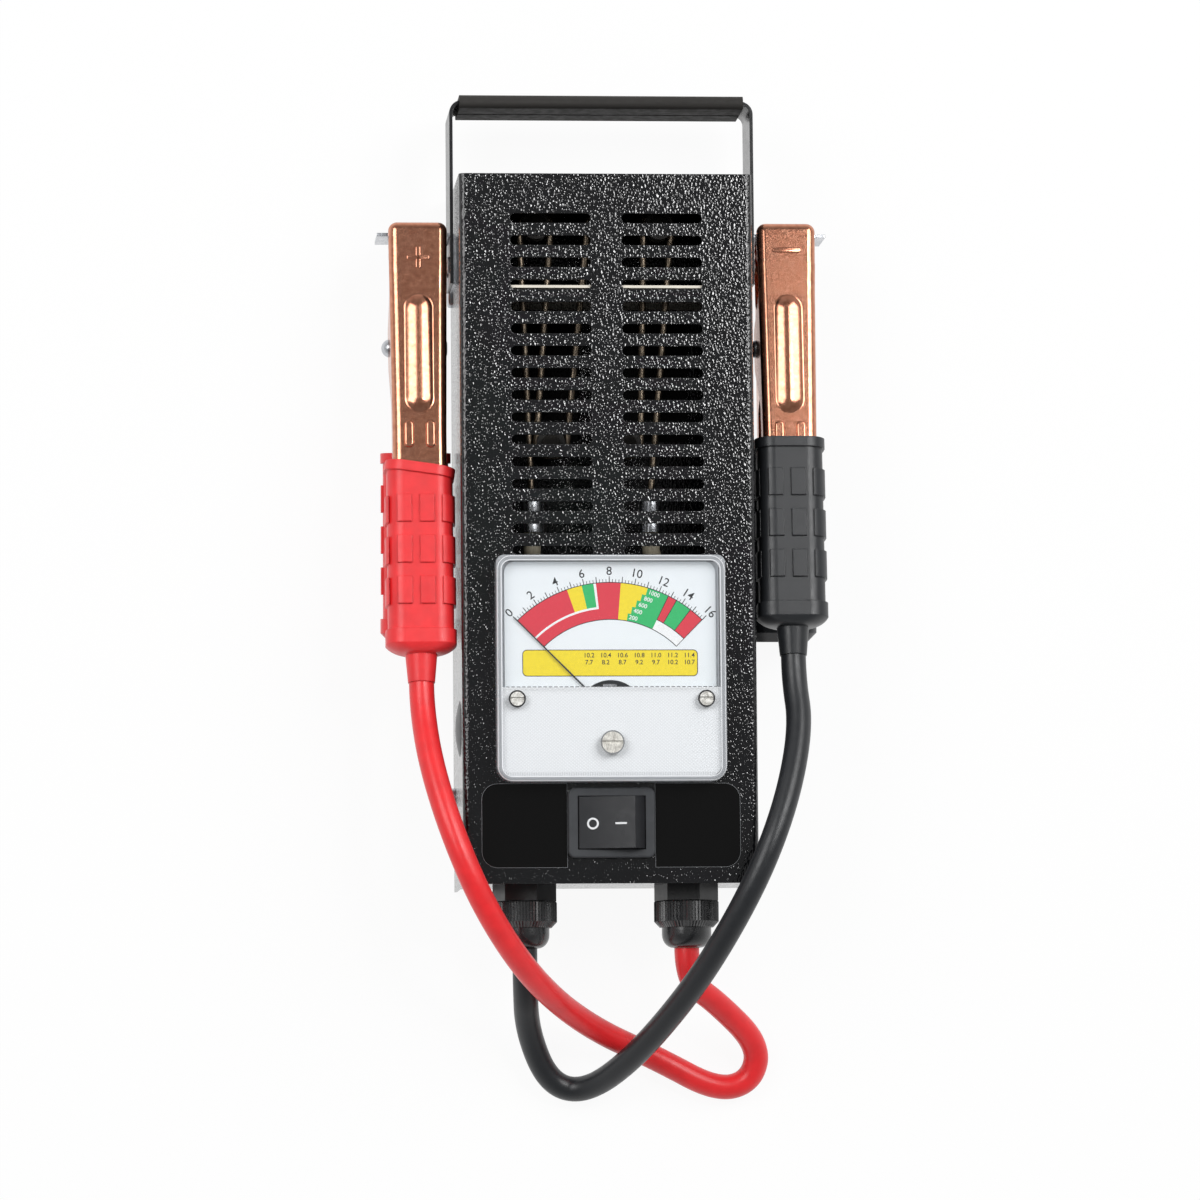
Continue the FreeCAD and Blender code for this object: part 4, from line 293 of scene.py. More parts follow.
@dataclass(frozen=True)
class HammerPaint:
    """Glossy black enamel with the small drawn-out dimples of a hammered finish."""

    name: str
    colour: Colour
    cell: float = 0.72 * MM
    draw: float = 1.5
    lean: float = 55.0
    warp: float = 2.2
    smoothness: float = 0.6
    depth: float = 0.125 * MM
    roughness: float = 0.1
    specular: float = 0.65
    edge: float = 0.5 * MM
    blotch: float = 9 * MM
    dim: float = 0.7

    def material(self) -> Material:
        """Builds the paint's material."""
        graph = Graph(self.name)
        graph.set(Roughness=self.roughness, Specular_IOR_Level=self.specular)
        drawn = graph.place((1.0, 1 / self.draw, 1.0), self.lean)
        bend = graph.node("TexNoise", Scale=1 / (self.warp * self.cell), Detail=2.0)
        graph.link(drawn, bend.inputs["Vector"])
        shift = graph.node("VectorMath")
        shift.operation = "MULTIPLY_ADD"
        shift.inputs[1].default_value = (self.cell, self.cell, self.cell)
        graph.link(bend.outputs["Color"], shift.inputs[0])
        graph.link(drawn, shift.inputs[2])
        cells = graph.node("TexVoronoi", Scale=1 / self.cell)
        cells.feature = "SMOOTH_F1"
        cells.inputs["Smoothness"].default_value = self.smoothness
        graph.link(shift.outputs["Vector"], cells.inputs["Vector"])
        graph.bump(cells.outputs["Distance"], self.depth, 1.0, self.edge)
        graph.mottle(graph.noise(self.blotch), self.colour, dimmed(self.colour, self.dim))
        return graph.material


@dataclass(frozen=True)
class Moulding:
    """Moulded plastic, vinyl or rubber with a fine grain and slightly uneven colour."""

    name: str
    colour: Colour
    roughness: float = 0.45
    grain: float = 0.3 * MM
    depth: float = 0.02 * MM
    mottle: float = 0.12
    edge: float = 0.25 * MM
    specular: float = 0.5
    stretch: Point = (1.0, 1.0, 1.0)
    blotch: float = 6 * MM
    smear: float = 2.5 * MM
    swing: Flat = (0.88, 1.12)
    relief: float = 0.6

    def material(self) -> Material:
        """Builds the moulding's material."""
        graph = Graph(self.name)
        graph.set(Specular_IOR_Level=self.specular)
        tint = graph.noise(self.blotch, stretch=self.stretch)
        graph.mottle(tint, self.colour, dimmed(self.colour, 1 - self.mottle))
        graph.shine(graph.noise(self.smear), self.roughness * self.swing[0], self.roughness * self.swing[1])
        graph.bump(graph.noise(self.grain, stretch=self.stretch), self.depth, self.relief, self.edge)
        return graph.material


@dataclass(frozen=True)
class Plating:
    """Plated or bare metal with a fine grain, faint drawing marks and duller patches."""

    name: str
    colour: Colour
    dull: Colour
    roughness: float = 0.28
    grain: float = 2.4 * MM
    marks: Point = (6.0, 0.5, 1.0)
    depth: float = 0.02 * MM
    patch: float = 14 * MM
    edge: float = 0.3 * MM
    metal: float = 1.0
    detail: float = 4.0
    swing: Flat = (0.75, 1.3)
    relief: float = 0.35

    def material(self) -> Material:
        """Builds the plating's material."""
        graph = Graph(self.name)
        graph.set(Metallic=self.metal)
        graph.mottle(graph.noise(self.patch, self.detail), self.colour, self.dull)
        streak = graph.noise(self.grain, self.detail, self.marks)
        graph.shine(streak, self.roughness * self.swing[0], self.roughness * self.swing[1])
        graph.bump(streak, self.depth, self.relief, self.edge)
        return graph.material


@dataclass(frozen=True)
class Ink:
    """Flat printing ink, very slightly uneven."""

    name: str
    colour: Colour
    roughness: float = 0.5
    specular: float = 0.2
    blotch: float = 1.2 * MM
    dim: float = 0.93
    smear: float = 0.6 * MM
    swing: Flat = (0.9, 1.1)

    def material(self) -> Material:
        """Builds the ink's material."""
        graph = Graph(self.name)
        graph.set(Specular_IOR_Level=self.specular)
        graph.mottle(graph.noise(self.blotch), self.colour, dimmed(self.colour, self.dim))
        graph.shine(graph.noise(self.smear), self.roughness * self.swing[0], self.roughness * self.swing[1])
        return graph.material


@dataclass(frozen=True)
class ClearCover:
    """Clear moulded cover: see-through over the dial, with painted highlight lines along its walls."""

    name: str
    centre: Flat = (0.0, -51.3 * MM)
    half: Flat = (41.0 * MM, 40.5 * MM)
    corner: float = 5.5 * MM
    roughness: float = 0.08
    window: float = 0.04
    wall: Flat = (0.45, 0.75)
    wall_colour: Colour = shade(196, 200, 205)
    # Strength and colour of the painted highlight lines along the walls.
    line: float = 0.9
    line_colour: Colour = shade(250, 252, 255)
    hatch: float = 0.45 * MM
    hatch_turn: float = 45.0
    # Places in from the outline of the two painted highlight lines, and their width; the grey wall reaches to
    # the second.
    lines: Flat = (0.5 * MM, 1.9 * MM)
    stroke: float = 0.22 * MM
    core: float = 0.3
    ripple: float = 5 * MM
    depth: float = 0.02 * MM
    relief: float = 0.2

    def from_edge(self, graph: Graph) -> Socket:
        """Gives the distance in from the cover's outline, up to its corner radius."""
        parts = graph.node("SeparateXYZ")
        graph.link(graph.place(), parts.inputs["Vector"])
        squares = []
        for axis, middle, reach in zip("XY", self.centre, self.half):
            away = graph.math("ABSOLUTE", graph.math("SUBTRACT", parts.outputs[axis], middle))
            past = graph.math("MAXIMUM", graph.math("SUBTRACT", away, reach - self.corner), 0.0)
            squares.append(graph.math("MULTIPLY", past, past))
        past = graph.math("SQRT", graph.math("ADD", squares[0], squares[1]))
        return graph.math("SUBTRACT", self.corner, past)

    def streak(self, graph: Graph, inside: Socket, place: float) -> Socket:
        """Gives the strength of the painted highlight line that runs at a distance in from the outline."""
        off = graph.math("ABSOLUTE", graph.math("SUBTRACT", inside, place))
        return graph.ramp(off, self.core * self.stroke, self.stroke, self.line, 0.0)

    def material(self) -> Material:
        """Builds the cover's material."""
        graph = Graph(self.name)
        graph.set(Roughness=self.roughness)
        inside = self.from_edge(graph)
        wall = graph.ramp(graph.waves(self.hatch, self.hatch_turn), 0.0, 1.0, *self.wall)
        within = graph.ramp(inside, self.lines[1], self.lines[1] + self.stroke, 1.0, 0.0)
        alpha = graph.math("MAXIMUM", graph.math("MULTIPLY", within, wall), self.window)
        highlight_strengths = [self.streak(graph, inside, place) for place in self.lines]
        # The bright lines are painted highlights, mixed into the colour and the alpha.
        bright = graph.math("MAXIMUM", highlight_strengths[0], highlight_strengths[1])
        graph.feed("Base Color", graph.blend(bright, self.wall_colour, self.line_colour))
        graph.feed("Alpha", graph.math("MAXIMUM", alpha, bright))
        graph.bump(graph.noise(self.ripple), self.depth, self.relief)
        return graph.material


@dataclass(frozen=True)
class FrostedPanel:
    """White moulding with a fine diamond-cut face and a hatched lower edge, both darkened in the colour as
    painted shade.
    """

    name: str
    colour: Colour
    roughness: float = 0.4
    pitch: float = 0.85 * MM
    turn: float = 50.0
    dot: Flat = (0.1, 0.75)
    dot_shade: float = 0.3
    hatch: float = 0.62 * MM
    hatch_top: float = -88.2 * MM
    fade: float = 0.1 * MM
    dim: float = 0.62
    depth: float = 0.08 * MM
    relief: float = 0.4

    def material(self) -> Material:
        """Builds the panel's material."""
        graph = Graph(self.name)
        graph.set(Roughness=self.roughness)
        first = graph.waves(self.pitch, self.turn)
        second = graph.waves(self.pitch, -self.turn)
        dots = graph.ramp(graph.math("MULTIPLY", first, second), *self.dot, 1.0, 0.0)
        parts = graph.node("SeparateXYZ")
        graph.link(graph.place(), parts.inputs["Vector"])
        low = graph.ramp(parts.outputs["Y"], self.hatch_top - self.fade, self.hatch_top, 1.0, 0.0)
        shadow = graph.math("MULTIPLY", low, graph.waves(self.hatch, 0.0))
        # The dots and the hatch darken the colour: painted shade of the moulded relief.
        relief = graph.math("MAXIMUM", graph.math("MULTIPLY", dots, self.dot_shade), shadow)
        graph.feed("Base Color", graph.blend(relief, self.colour, dimmed(self.colour, self.dim)))
        graph.bump(dots, self.depth, self.relief)
        return graph.material


class Bench:
    """Modelling by hand: primitives shaped in edit mode."""

    @staticmethod
    def clear() -> None:
        """Leaves edit mode and deselects everything."""
        if bpy.context.object and bpy.context.object.mode != "OBJECT":
            bpy.ops.object.mode_set(mode="OBJECT")
        bpy.ops.object.select_all(action="DESELECT")

    @staticmethod
    def named(name: str) -> Piece:
        """Names the active object, puts its place into its mesh and returns it."""
        if bpy.context.object.mode != "OBJECT":
            bpy.ops.object.mode_set(mode="OBJECT")
        bpy.ops.object.transform_apply(location=True, rotation=True, scale=True)
        made = bpy.context.object
        made.name = name
        made.data.name = name
        return made

    @staticmethod
    def pick(test: Callable[[Vector], bool]) -> None:
        """Selects, in edit mode, the vertices of the active mesh whose place passes a test."""
        bpy.ops.object.mode_set(mode="EDIT")
        bpy.ops.mesh.select_mode(type="VERT")
        bpy.ops.mesh.select_all(action="DESELECT")
        bpy.ops.object.mode_set(mode="OBJECT")
        for vertex in bpy.context.object.data.vertices:
            vertex.select = test(vertex.co)
        bpy.ops.object.mode_set(mode="EDIT")

    @staticmethod
    def raise_flat(thickness: float) -> None:
        """Extrudes the whole flat mesh upwards and turns its faces outwards."""
        bpy.ops.object.mode_set(mode="EDIT")
        bpy.ops.mesh.select_all(action="SELECT")
        bpy.ops.mesh.remove_doubles(threshold=WELD)
        bpy.ops.mesh.extrude_region_move(TRANSFORM_OT_translate={"value": (0, 0, thickness)})
        bpy.ops.mesh.select_all(action="SELECT")
        bpy.ops.mesh.normals_make_consistent(inside=False)
        bpy.ops.object.mode_set(mode="OBJECT")

    @staticmethod
    def sheet(low: Flat, high: Flat, rise: float) -> None:
        """Adds a flat rectangle, with its place already in its mesh.

        Args:
            low: Lowest X and Y.
            high: Highest X and Y.
            rise: Its Z.
        """
        Bench.clear()
        middle = ((low[0] + high[0]) / 2, (low[1] + high[1]) / 2, rise)
        bpy.ops.mesh.primitive_plane_add(size=1, location=middle)
        bpy.context.object.scale = (high[0] - low[0], high[1] - low[1], 1)
        bpy.ops.object.transform_apply(location=True, rotation=True, scale=True)

    @staticmethod
    def plate(
        name: str, low: Flat, high: Flat, rise: float, thickness: float,
        corner: float, rounded: Callable[[Vector], bool] = lambda place: True,
    ) -> Piece:
        """Makes a thin plate with rounded corners.

        Args:
            name: Piece name.
            low: Lowest X and Y.
            high: Highest X and Y.
            rise: Z of its underside.
            thickness: Its thickness.
            corner: Corner radius.
            rounded: Test that says which corners are rounded.

        Returns:
            The plate.
        """
        Bench.sheet(low, high, rise)
        Bench.pick(rounded)
        bpy.ops.mesh.bevel(offset=corner, offset_type="OFFSET", segments=CORNER_STEPS, affect="VERTICES")
        Bench.raise_flat(thickness)
        return Bench.named(name)

    @staticmethod
    def words(
        text: str, size: float, place: Point, turn: float, thickness: float, bold: float = 0.0,
    ) -> Piece:
        """Makes a number or sign as a thin mesh.

        Args:
            text: Number or sign.
            size: Height of the type.
            place: Middle of its underside.
            turn: Turn about Z in radians.
            thickness: Its thickness.
            bold: How far its outline is spread.

        Returns:
            The mesh.
        """
        Bench.clear()
        bpy.ops.object.text_add(location=place, rotation=(0, 0, turn))
        made = bpy.context.object
        made.data.body = text
        made.data.size = size
        made.data.align_x = "CENTER"
        made.data.align_y = "CENTER"
        made.data.extrude = thickness / 2
        made.data.offset = bold
        made.data.resolution_u = TYPE_STEPS
        bpy.ops.object.convert(target="MESH")
        return Bench.named("figure")

    @staticmethod
    def ring(name: str, place: Point, outer: float, inner: float, thickness: float) -> Piece:
        """Makes a flat ring.

        Args:
            name: Piece name.
            place: Middle of its underside.
            outer: Outer radius.
            inner: Inner radius.
            thickness: Its thickness.

        Returns:
            The ring.
        """
        Bench.clear()
        bpy.ops.mesh.primitive_circle_add(vertices=RING_STEPS, radius=outer, location=place)
        Bench.named(name)
        bpy.ops.object.mode_set(mode="EDIT")
        bpy.ops.mesh.select_all(action="SELECT")
        bpy.ops.mesh.extrude_edges_move()
        share = inner / outer
        bpy.ops.transform.resize(value=(share, share, 1), center_override=place)
        Bench.raise_flat(thickness)
        return Bench.named(name)

    @staticmethod
    def wire(name: str, kind: str, points: list[Point], radius: float, steps: int) -> Piece:
        """Makes a round wire as a curve of one spline.

        Args:
            name: Piece name.
            kind: Kind of spline.
            points: Points of the spline.
            radius: Radius of the wire.
            steps: How finely its section is rounded.

        Returns:
            The curve.
        """
        Bench.clear()
        curve = bpy.data.curves.new(name, "CURVE")
        curve.dimensions = "3D"
        spline = curve.splines.new(kind)
        spline.points.add(len(points) - 1)
        for point, place in zip(spline.points, points):
            point.co = (*place, 1.0)
        curve.bevel_depth = radius
        curve.bevel_resolution = steps
        curve.use_fill_caps = True
        made = bpy.data.objects.new(name, curve)
        bpy.context.collection.objects.link(made)
        made.select_set(True)
        bpy.context.view_layer.objects.active = made
        return made

    @staticmethod
    def twin(piece: Piece, shift: Point) -> Piece:
        """Copies a piece, with a mesh of its own, to another place.

        Args:
            piece: Piece to copy.
            shift: How far the copy is moved.

        Returns:
            The copy.
        """
        Bench.clear()
        made = piece.copy()
        made.data = piece.data.copy()
        bpy.context.collection.objects.link(made)
        made.location = shift
        made.select_set(True)
        bpy.context.view_layer.objects.active = made
        return Bench.named(piece.name + "_twin")

    @staticmethod
    def join(pieces: list[Piece], name: str) -> Piece:
        """Joins several meshes into one piece.

        Args:
            pieces: Meshes to join.
            name: Name of the joined piece.

        Returns:
            The joined piece.
        """
        Bench.clear()
        for piece in pieces:
            piece.select_set(True)
        bpy.context.view_layer.objects.active = pieces[0]
        if len(pieces) > 1:
            bpy.ops.object.join()
        return Bench.named(name)


def swing(place: Point, angle: float, axis: str) -> Matrix:
    """Gives a turn about a point, by an angle in radians."""
    there = Matrix.Translation(place)
    return there @ Matrix.Rotation(angle, 4, axis) @ there.inverted()


def fix(piece: Piece, finish: Material, body: Body) -> Piece:
    """Dresses a new piece and puts it on a body.

    Args:
        piece: The piece.
        finish: Its material.
        body: Body that it rides on.

    Returns:
        The piece.
    """
    piece.data.materials.clear()
    piece.data.materials.append(finish)
    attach(piece, body.value)
    LOG.info("piece %s on %s", piece.name, body.value)
    return piece


FINISHES = (
    HammerPaint("case_paint", shade(13, 14, 17)),
    Moulding("strap_paint", shade(26, 27, 29), roughness=0.24, grain=1.0 * MM),
    Moulding(
        "sleeve_vinyl", shade(62, 60, 58), roughness=0.65, grain=2.0 * MM, depth=0.2 * MM, mottle=0.55,
        specular=0.2, stretch=(0.02, 1.0, 1.0),
    ),
    Plating("bright_steel", shade(206, 208, 212), shade(176, 179, 184)),
    Plating(
        "screw_nickel", shade(246, 245, 240), shade(176, 174, 168), roughness=0.3, grain=0.8 * MM,
        patch=1.4 * MM, depth=0.12 * MM, metal=0.4,
    ),
    Plating("post_steel", shade(52, 50, 48), shade(36, 35, 34), roughness=0.5),
    Moulding("black_nylon", shade(26, 27, 29), roughness=0.34),
    Moulding("nut_nylon", shade(32, 33, 35), roughness=0.26, specular=0.8, edge=0.0),
    Moulding("seal_rubber", shade(26, 26, 27), roughness=0.6),
    ClearCover("clear_plastic"),
    Moulding("meter_base_plastic", shade(204, 208, 212), roughness=0.5),
    FrostedPanel("apron_plastic", shade(240, 243, 246)),
    Moulding("dial_paint", shade(236, 242, 246), roughness=0.5, mottle=0.02),
    Ink("needle_paint", shade(30, 30, 32)),
    Plating(
        "zero_plastic", shade(244, 242, 234), shade(186, 183, 176), roughness=0.28, grain=0.9 * MM,
        patch=1.8 * MM, depth=0.12 * MM, metal=0.35,
    ),
    Ink("screw_shadow", shade(52, 52, 54)),
    Ink("grey_edging", shade(128, 130, 133)),
    Plating("magnet_iron", shade(70, 72, 76), shade(48, 50, 54), roughness=0.45),
    Moulding("switch_plastic", shade(62, 64, 67), roughness=0.6, specular=0.3),
    Moulding("rocker_plastic", shade(36, 37, 40), roughness=0.4, specular=0.35),
    Plating("contact_brass", shade(200, 168, 96), shade(168, 138, 74)),
    Plating("load_alloy", shade(160, 146, 128), shade(120, 108, 94), roughness=0.45),
    Moulding("ceramic", shade(232, 226, 212), roughness=0.5),
    Moulding("bobbin_ceramic", shade(40, 37, 34), roughness=0.6),
    Moulding("glass_sleeving", shade(206, 196, 172), roughness=0.6, grain=1.0 * MM, mottle=0.4),
    Plating(
        "copper_plate", shade(212, 150, 122), shade(192, 128, 102), roughness=0.19, grain=0.45 * MM,
        marks=(1.0, 1.0, 1.0), patch=2.0 * MM, edge=0.0,
    ),
    Moulding("red_vinyl", shade(238, 48, 52), roughness=0.38, grain=0.6 * MM, edge=0.5 * MM),
    Moulding("black_vinyl", shade(34, 36, 39), roughness=0.36, grain=0.6 * MM, edge=0.5 * MM),
    Moulding("red_cable", shade(238, 44, 48), roughness=0.33, grain=0.8 * MM),
    Moulding("black_cable", shade(34, 36, 39), roughness=0.36, grain=0.8 * MM),
    Ink("sticker_film", shade(10, 10, 10), roughness=0.1, specular=0.3),
    Ink("switch_mark", shade(226, 228, 230)),
)
NODE_FINISHES = {
    "meter_apron": "apron_plastic",
    "meter_base": "meter_base_plastic",
    "meter_cover_screws": "screw_nickel",
    "switch_rocker": "rocker_plastic",
    "load_insulators": "bobbin_ceramic",
    "insulator_posts": "post_steel",
    "red_lead_tail": "glass_sleeving",
    "switch_jumper": "glass_sleeving",
}


class Finishes:
    """Every finish of the tester by name; a slot of the record takes the finish of its own name."""

    def __init__(self) -> None:
        """Builds the materials."""
        self.made = {finish.name: finish.material() for finish in FINISHES}

    def __getitem__(self, name: str) -> Material:
        """Gives the material of a finish."""
        return self.made[name]

    def dress(self, frame: dict) -> None:
        """Gives every carried-over node its own finish or its slot's.

        Args:
            frame: The loaded frame.
        """
        for part in frame["record"]["subparts"]:
            name = part["node"]
            node = frame["nodes"][name]
            finish = self[NODE_FINISHES.get(name, part["material_slot"])]
            node.data.materials.clear()
            node.data.materials.append(finish)
            LOG.info("node %s takes %s", name, finish.name)


class DialInk(Enum):
    """Colours of the dial's print."""

    RED = shade(222, 44, 64)
    YELLOW = shade(246, 222, 22)
    GREEN = shade(30, 186, 104)
    WHITE = shade(246, 248, 250)
    BLACK = shade(30, 30, 32)


@dataclass
class Dial:
    """Printing on the meter's dial plate: coloured bands, ticks, numbers and a table."""

    pivot: Flat = (0.0, -67.3 * MM)
    face: float = 61.1 * MM
    layer: float = 0.03 * MM
    outer: float = 46.8 * MM
    divider: float = 37.6 * MM
    inner: float = 33.8 * MM
    line: float = 0.28 * MM
    fine_line: float = 0.2 * MM
    gap: float = 0.75 * MM
    tick: float = 2.3 * MM
    fine_tick: float = 1.3 * MM
    main_gap: float = 1.0
    fine_gap: float = 0.25
    zero_angle: float = 135.0
    step: float = 5.59
    last: int = 16
    arc_steps: int = 4
    low_weak: float = 4.62
    low_good: float = 5.82
    low_end: float = 6.75
    high_start: float = 6.95
    high_weak: float = 8.9
    stair_start: float = 9.85
    stair_gain: float = 0.3
    stair_shift: float = 0.62
    steps: int = 5
    charge_start: float = 12.78
    charge_good: float = 13.5
    charge_high: float = 14.8
    bold: float = 0.02 * MM
    figure_gap: int = 2
    figure_radius: float = 50.9 * MM
    figure_size: float = 4.3 * MM
    step_figure: float = 2.1 * MM
    step_amps: int = 200
    table_low: Flat = (-31.2 * MM, -53.7 * MM)
    table_high: Flat = (30.9 * MM, -44.7 * MM)
    table_corner: float = 1.4 * MM
    table_first: Flat = (-7.7 * MM, -46.5 * MM)
    table_pitch: Flat = (5.97 * MM, 2.5 * MM)
    table_rows: tuple[Flat, ...] = ((10.2, 0.2), (7.7, 0.5))
    table_columns: int = 7
    table_figure: float = 2.3 * MM

    def __post_init__(self) -> None:
        """Mixes the inks."""
        self.inks = {ink: Ink("dial_" + ink.name.lower(), ink.value).material() for ink in DialInk}

    def lay(self, piece: Piece, ink: DialInk) -> None:
        """Prints a piece in one of the inks."""
        fix(piece, self.inks[ink], Body.CASE)

    def angle(self, volts: float) -> float:
        """Angle of a reading in radians."""
        return math.radians(self.zero_angle - self.step * volts)

    def spot(self, radius: float, volts: float, layer: int) -> Vector:
        """A point on the dial at a radius and a reading, on a numbered layer of ink."""
        turn = self.angle(volts)
        across = self.pivot[0] + radius * math.cos(turn)
        along = self.pivot[1] + radius * math.sin(turn)
        return Vector((across, along, self.face + self.layer * layer))

    def band(self, inner: float, outer: float, low: float, high: float, layer: int = 1) -> Piece:
        """Spins a radial edge into a band.

        Args:
            inner: Inner radius.
            outer: Outer radius.
            low: Reading where the band starts.
            high: Reading where it ends.
            layer: Ink layers under it.

        Returns:
            The band.
        """
        start = self.spot(inner, low, layer)
        end = self.spot(outer, low, layer)
        Bench.sheet((0, 0), (1, 1), start.z)
        Bench.pick(lambda place: place.y > 0.5)
        bpy.ops.mesh.delete(type="VERT")
        bpy.ops.object.mode_set(mode="OBJECT")
        edge = bpy.context.object.data.vertices
        edge[0].co = start
        edge[1].co = end
        Bench.pick(lambda place: True)
        bpy.ops.mesh.spin(
            steps=max(2, round(self.arc_steps * (high - low))), angle=math.radians(self.step * (high - low)),
            center=(*self.pivot, start.z), axis=(0, 0, 1),
        )
        Bench.raise_flat(self.layer)
        return Bench.named("band")

    def ticks(self, gap: float, reach: float, width: float) -> Piece:
        """Makes one tick and spins its copies along the scale.

        Args:
            gap: Volts from tick to tick.
            reach: Length of a tick.
            width: Width of a tick.

        Returns:
            The ticks.
        """
        centre = (*self.pivot, self.face)
        low = (centre[0] + self.outer, centre[1] - width / 2)
        high = (centre[0] + self.outer + reach, centre[1] + width / 2)
        Bench.sheet(low, high, self.face)
        bpy.context.object.matrix_world = swing(centre, self.angle(0), "Z")
        bpy.ops.object.transform_apply(location=True, rotation=True, scale=True)
        Bench.pick(lambda place: True)
        bpy.ops.mesh.spin(
            steps=round(self.last / gap), dupli=True, angle=math.radians(self.step * self.last),
            center=centre, axis=(0, 0, 1),
        )
        Bench.raise_flat(self.layer)
        return Bench.named("ticks")

    def figures(self) -> Piece:
        """Makes the numbers round the scale."""
        made = []
        for volts in range(0, self.last + 1, self.figure_gap):
            place = self.spot(self.figure_radius, volts, 0)
            place.z += self.layer / 2
            turn = self.angle(volts) - math.pi / 2
            made.append(Bench.words(str(volts), self.figure_size, place, turn, self.layer, self.bold))
        return Bench.join(made, "dial_numbers")

    def low_range(self) -> dict[DialInk, list[Piece]]:
        """Makes the bands of the low range, which lie outside its white dividing line."""
        inside = self.divider + self.gap
        return {
            DialInk.RED: [self.band(inside, self.outer, 0.0, self.low_weak)],
            DialInk.YELLOW: [self.band(inside, self.outer, self.low_weak, self.low_good)],
            DialInk.GREEN: [self.band(inside, self.outer, self.low_good, self.low_end)],
            DialInk.WHITE: [
                self.band(self.divider, inside, 0.0, self.low_end),
                self.band(self.divider, self.outer, self.low_end, self.high_start),
            ],
        }

    def high_range(self) -> dict[DialInk, list[Piece]]:
        """Makes the bands of the high range, with a stepped border between yellow and green."""
        bands = {
            DialInk.RED: [
                self.band(self.inner, self.divider, 0.0, self.high_start),
                self.band(self.inner, self.outer, self.high_start, self.high_weak),
                self.band(self.divider, self.outer, self.charge_start, self.charge_good),
                self.band(self.divider, self.outer, self.charge_high, self.last),
            ],
            DialInk.YELLOW: [],
            DialInk.GREEN: [self.band(self.divider, self.outer, self.charge_good, self.charge_high)],
            DialInk.WHITE: [self.band(self.inner, self.divider - self.line, self.charge_start, self.last)],
        }
        ring = (self.outer - self.inner) / self.steps
        for step in range(self.steps):
            low = self.inner + ring * step
            border = self.stair_start + self.stair_gain * step
            bands[DialInk.YELLOW].append(self.band(low, low + ring, self.high_weak, border))
            bands[DialInk.GREEN].append(self.band(low, low + ring, border, self.charge_start))
        return bands

    def outlines(self) -> list[Piece]:
        """Makes the black edges round the bands and between them."""
        half = self.line / (2 * self.outer) / math.radians(self.step)
        edges = [self.band(self.inner - self.line, self.outer + self.line, -half, self.last + half, 0)]
        for volts in (0.0, float(self.last)):
            edges.append(self.band(self.inner, self.outer + self.tick, volts - half, volts + half, 2))
        for volts in (self.charge_start, self.charge_good, self.charge_high):
            edges.append(self.band(self.divider, self.outer, volts - half, volts + half, 2))
        return edges

    def capacities(self) -> Piece:
        """Makes the numbers on the steps."""
        made = []
        ring = (self.outer - self.inner) / self.steps
        for step in range(self.steps):
            volts = self.stair_start + self.stair_gain * step + self.stair_shift
            place = self.spot(self.inner + ring * (step + 0.5), volts, 2)
            place.z += self.layer / 2
            turn = self.angle(volts) - math.pi / 2
            text = str(self.step_amps * (step + 1))
            made.append(Bench.words(text, self.step_figure, place, turn, self.layer, self.bold))
        return Bench.join(made, "dial_step_numbers")

    def table(self) -> None:
        """Prints the yellow table with two rows of plain numbers."""
        low = (self.table_low[0] - self.line, self.table_low[1] - self.line)
        high = (self.table_high[0] + self.line, self.table_high[1] + self.line)
        corner = self.table_corner + self.line
        self.lay(Bench.plate("dial_table_border", low, high, self.face, self.layer, corner), DialInk.BLACK)
        rise = self.face + self.layer
        corner = self.table_corner
        field = Bench.plate("dial_table", self.table_low, self.table_high, rise, self.layer, corner)
        self.lay(field, DialInk.YELLOW)
        made = []
        for row, (first, gain) in enumerate(self.table_rows):
            for column in range(self.table_columns):
                place = (
                    self.table_first[0] + self.table_pitch[0] * column,
                    self.table_first[1] - self.table_pitch[1] * row, rise + 1.5 * self.layer,
                )
                text = f"{first + gain * column:.1f}"
                made.append(Bench.words(text, self.table_figure, place, 0.0, self.layer, self.bold))
        self.lay(Bench.join(made, "dial_table_numbers"), DialInk.BLACK)

    def build(self) -> None:
        """Prints the dial."""
        low, high = self.low_range(), self.high_range()
        for ink in low:
            self.lay(Bench.join(low[ink] + high[ink], "dial_bands_" + ink.name.lower()), ink)
        self.lay(Bench.join(self.outlines(), "dial_outlines"), DialInk.BLACK)
        fine = self.ticks(self.fine_gap, self.fine_tick, self.fine_line)
        main_ticks = self.ticks(self.main_gap, self.tick, self.line)
        self.lay(Bench.join([fine, main_ticks], "dial_ticks"), DialInk.BLACK)
        self.lay(self.figures(), DialInk.BLACK)
        self.lay(self.capacities(), DialInk.WHITE)
        self.table()


@dataclass
class Trim:
    """A set of small pieces, made with the tester's finishes."""

    finishes: Finishes


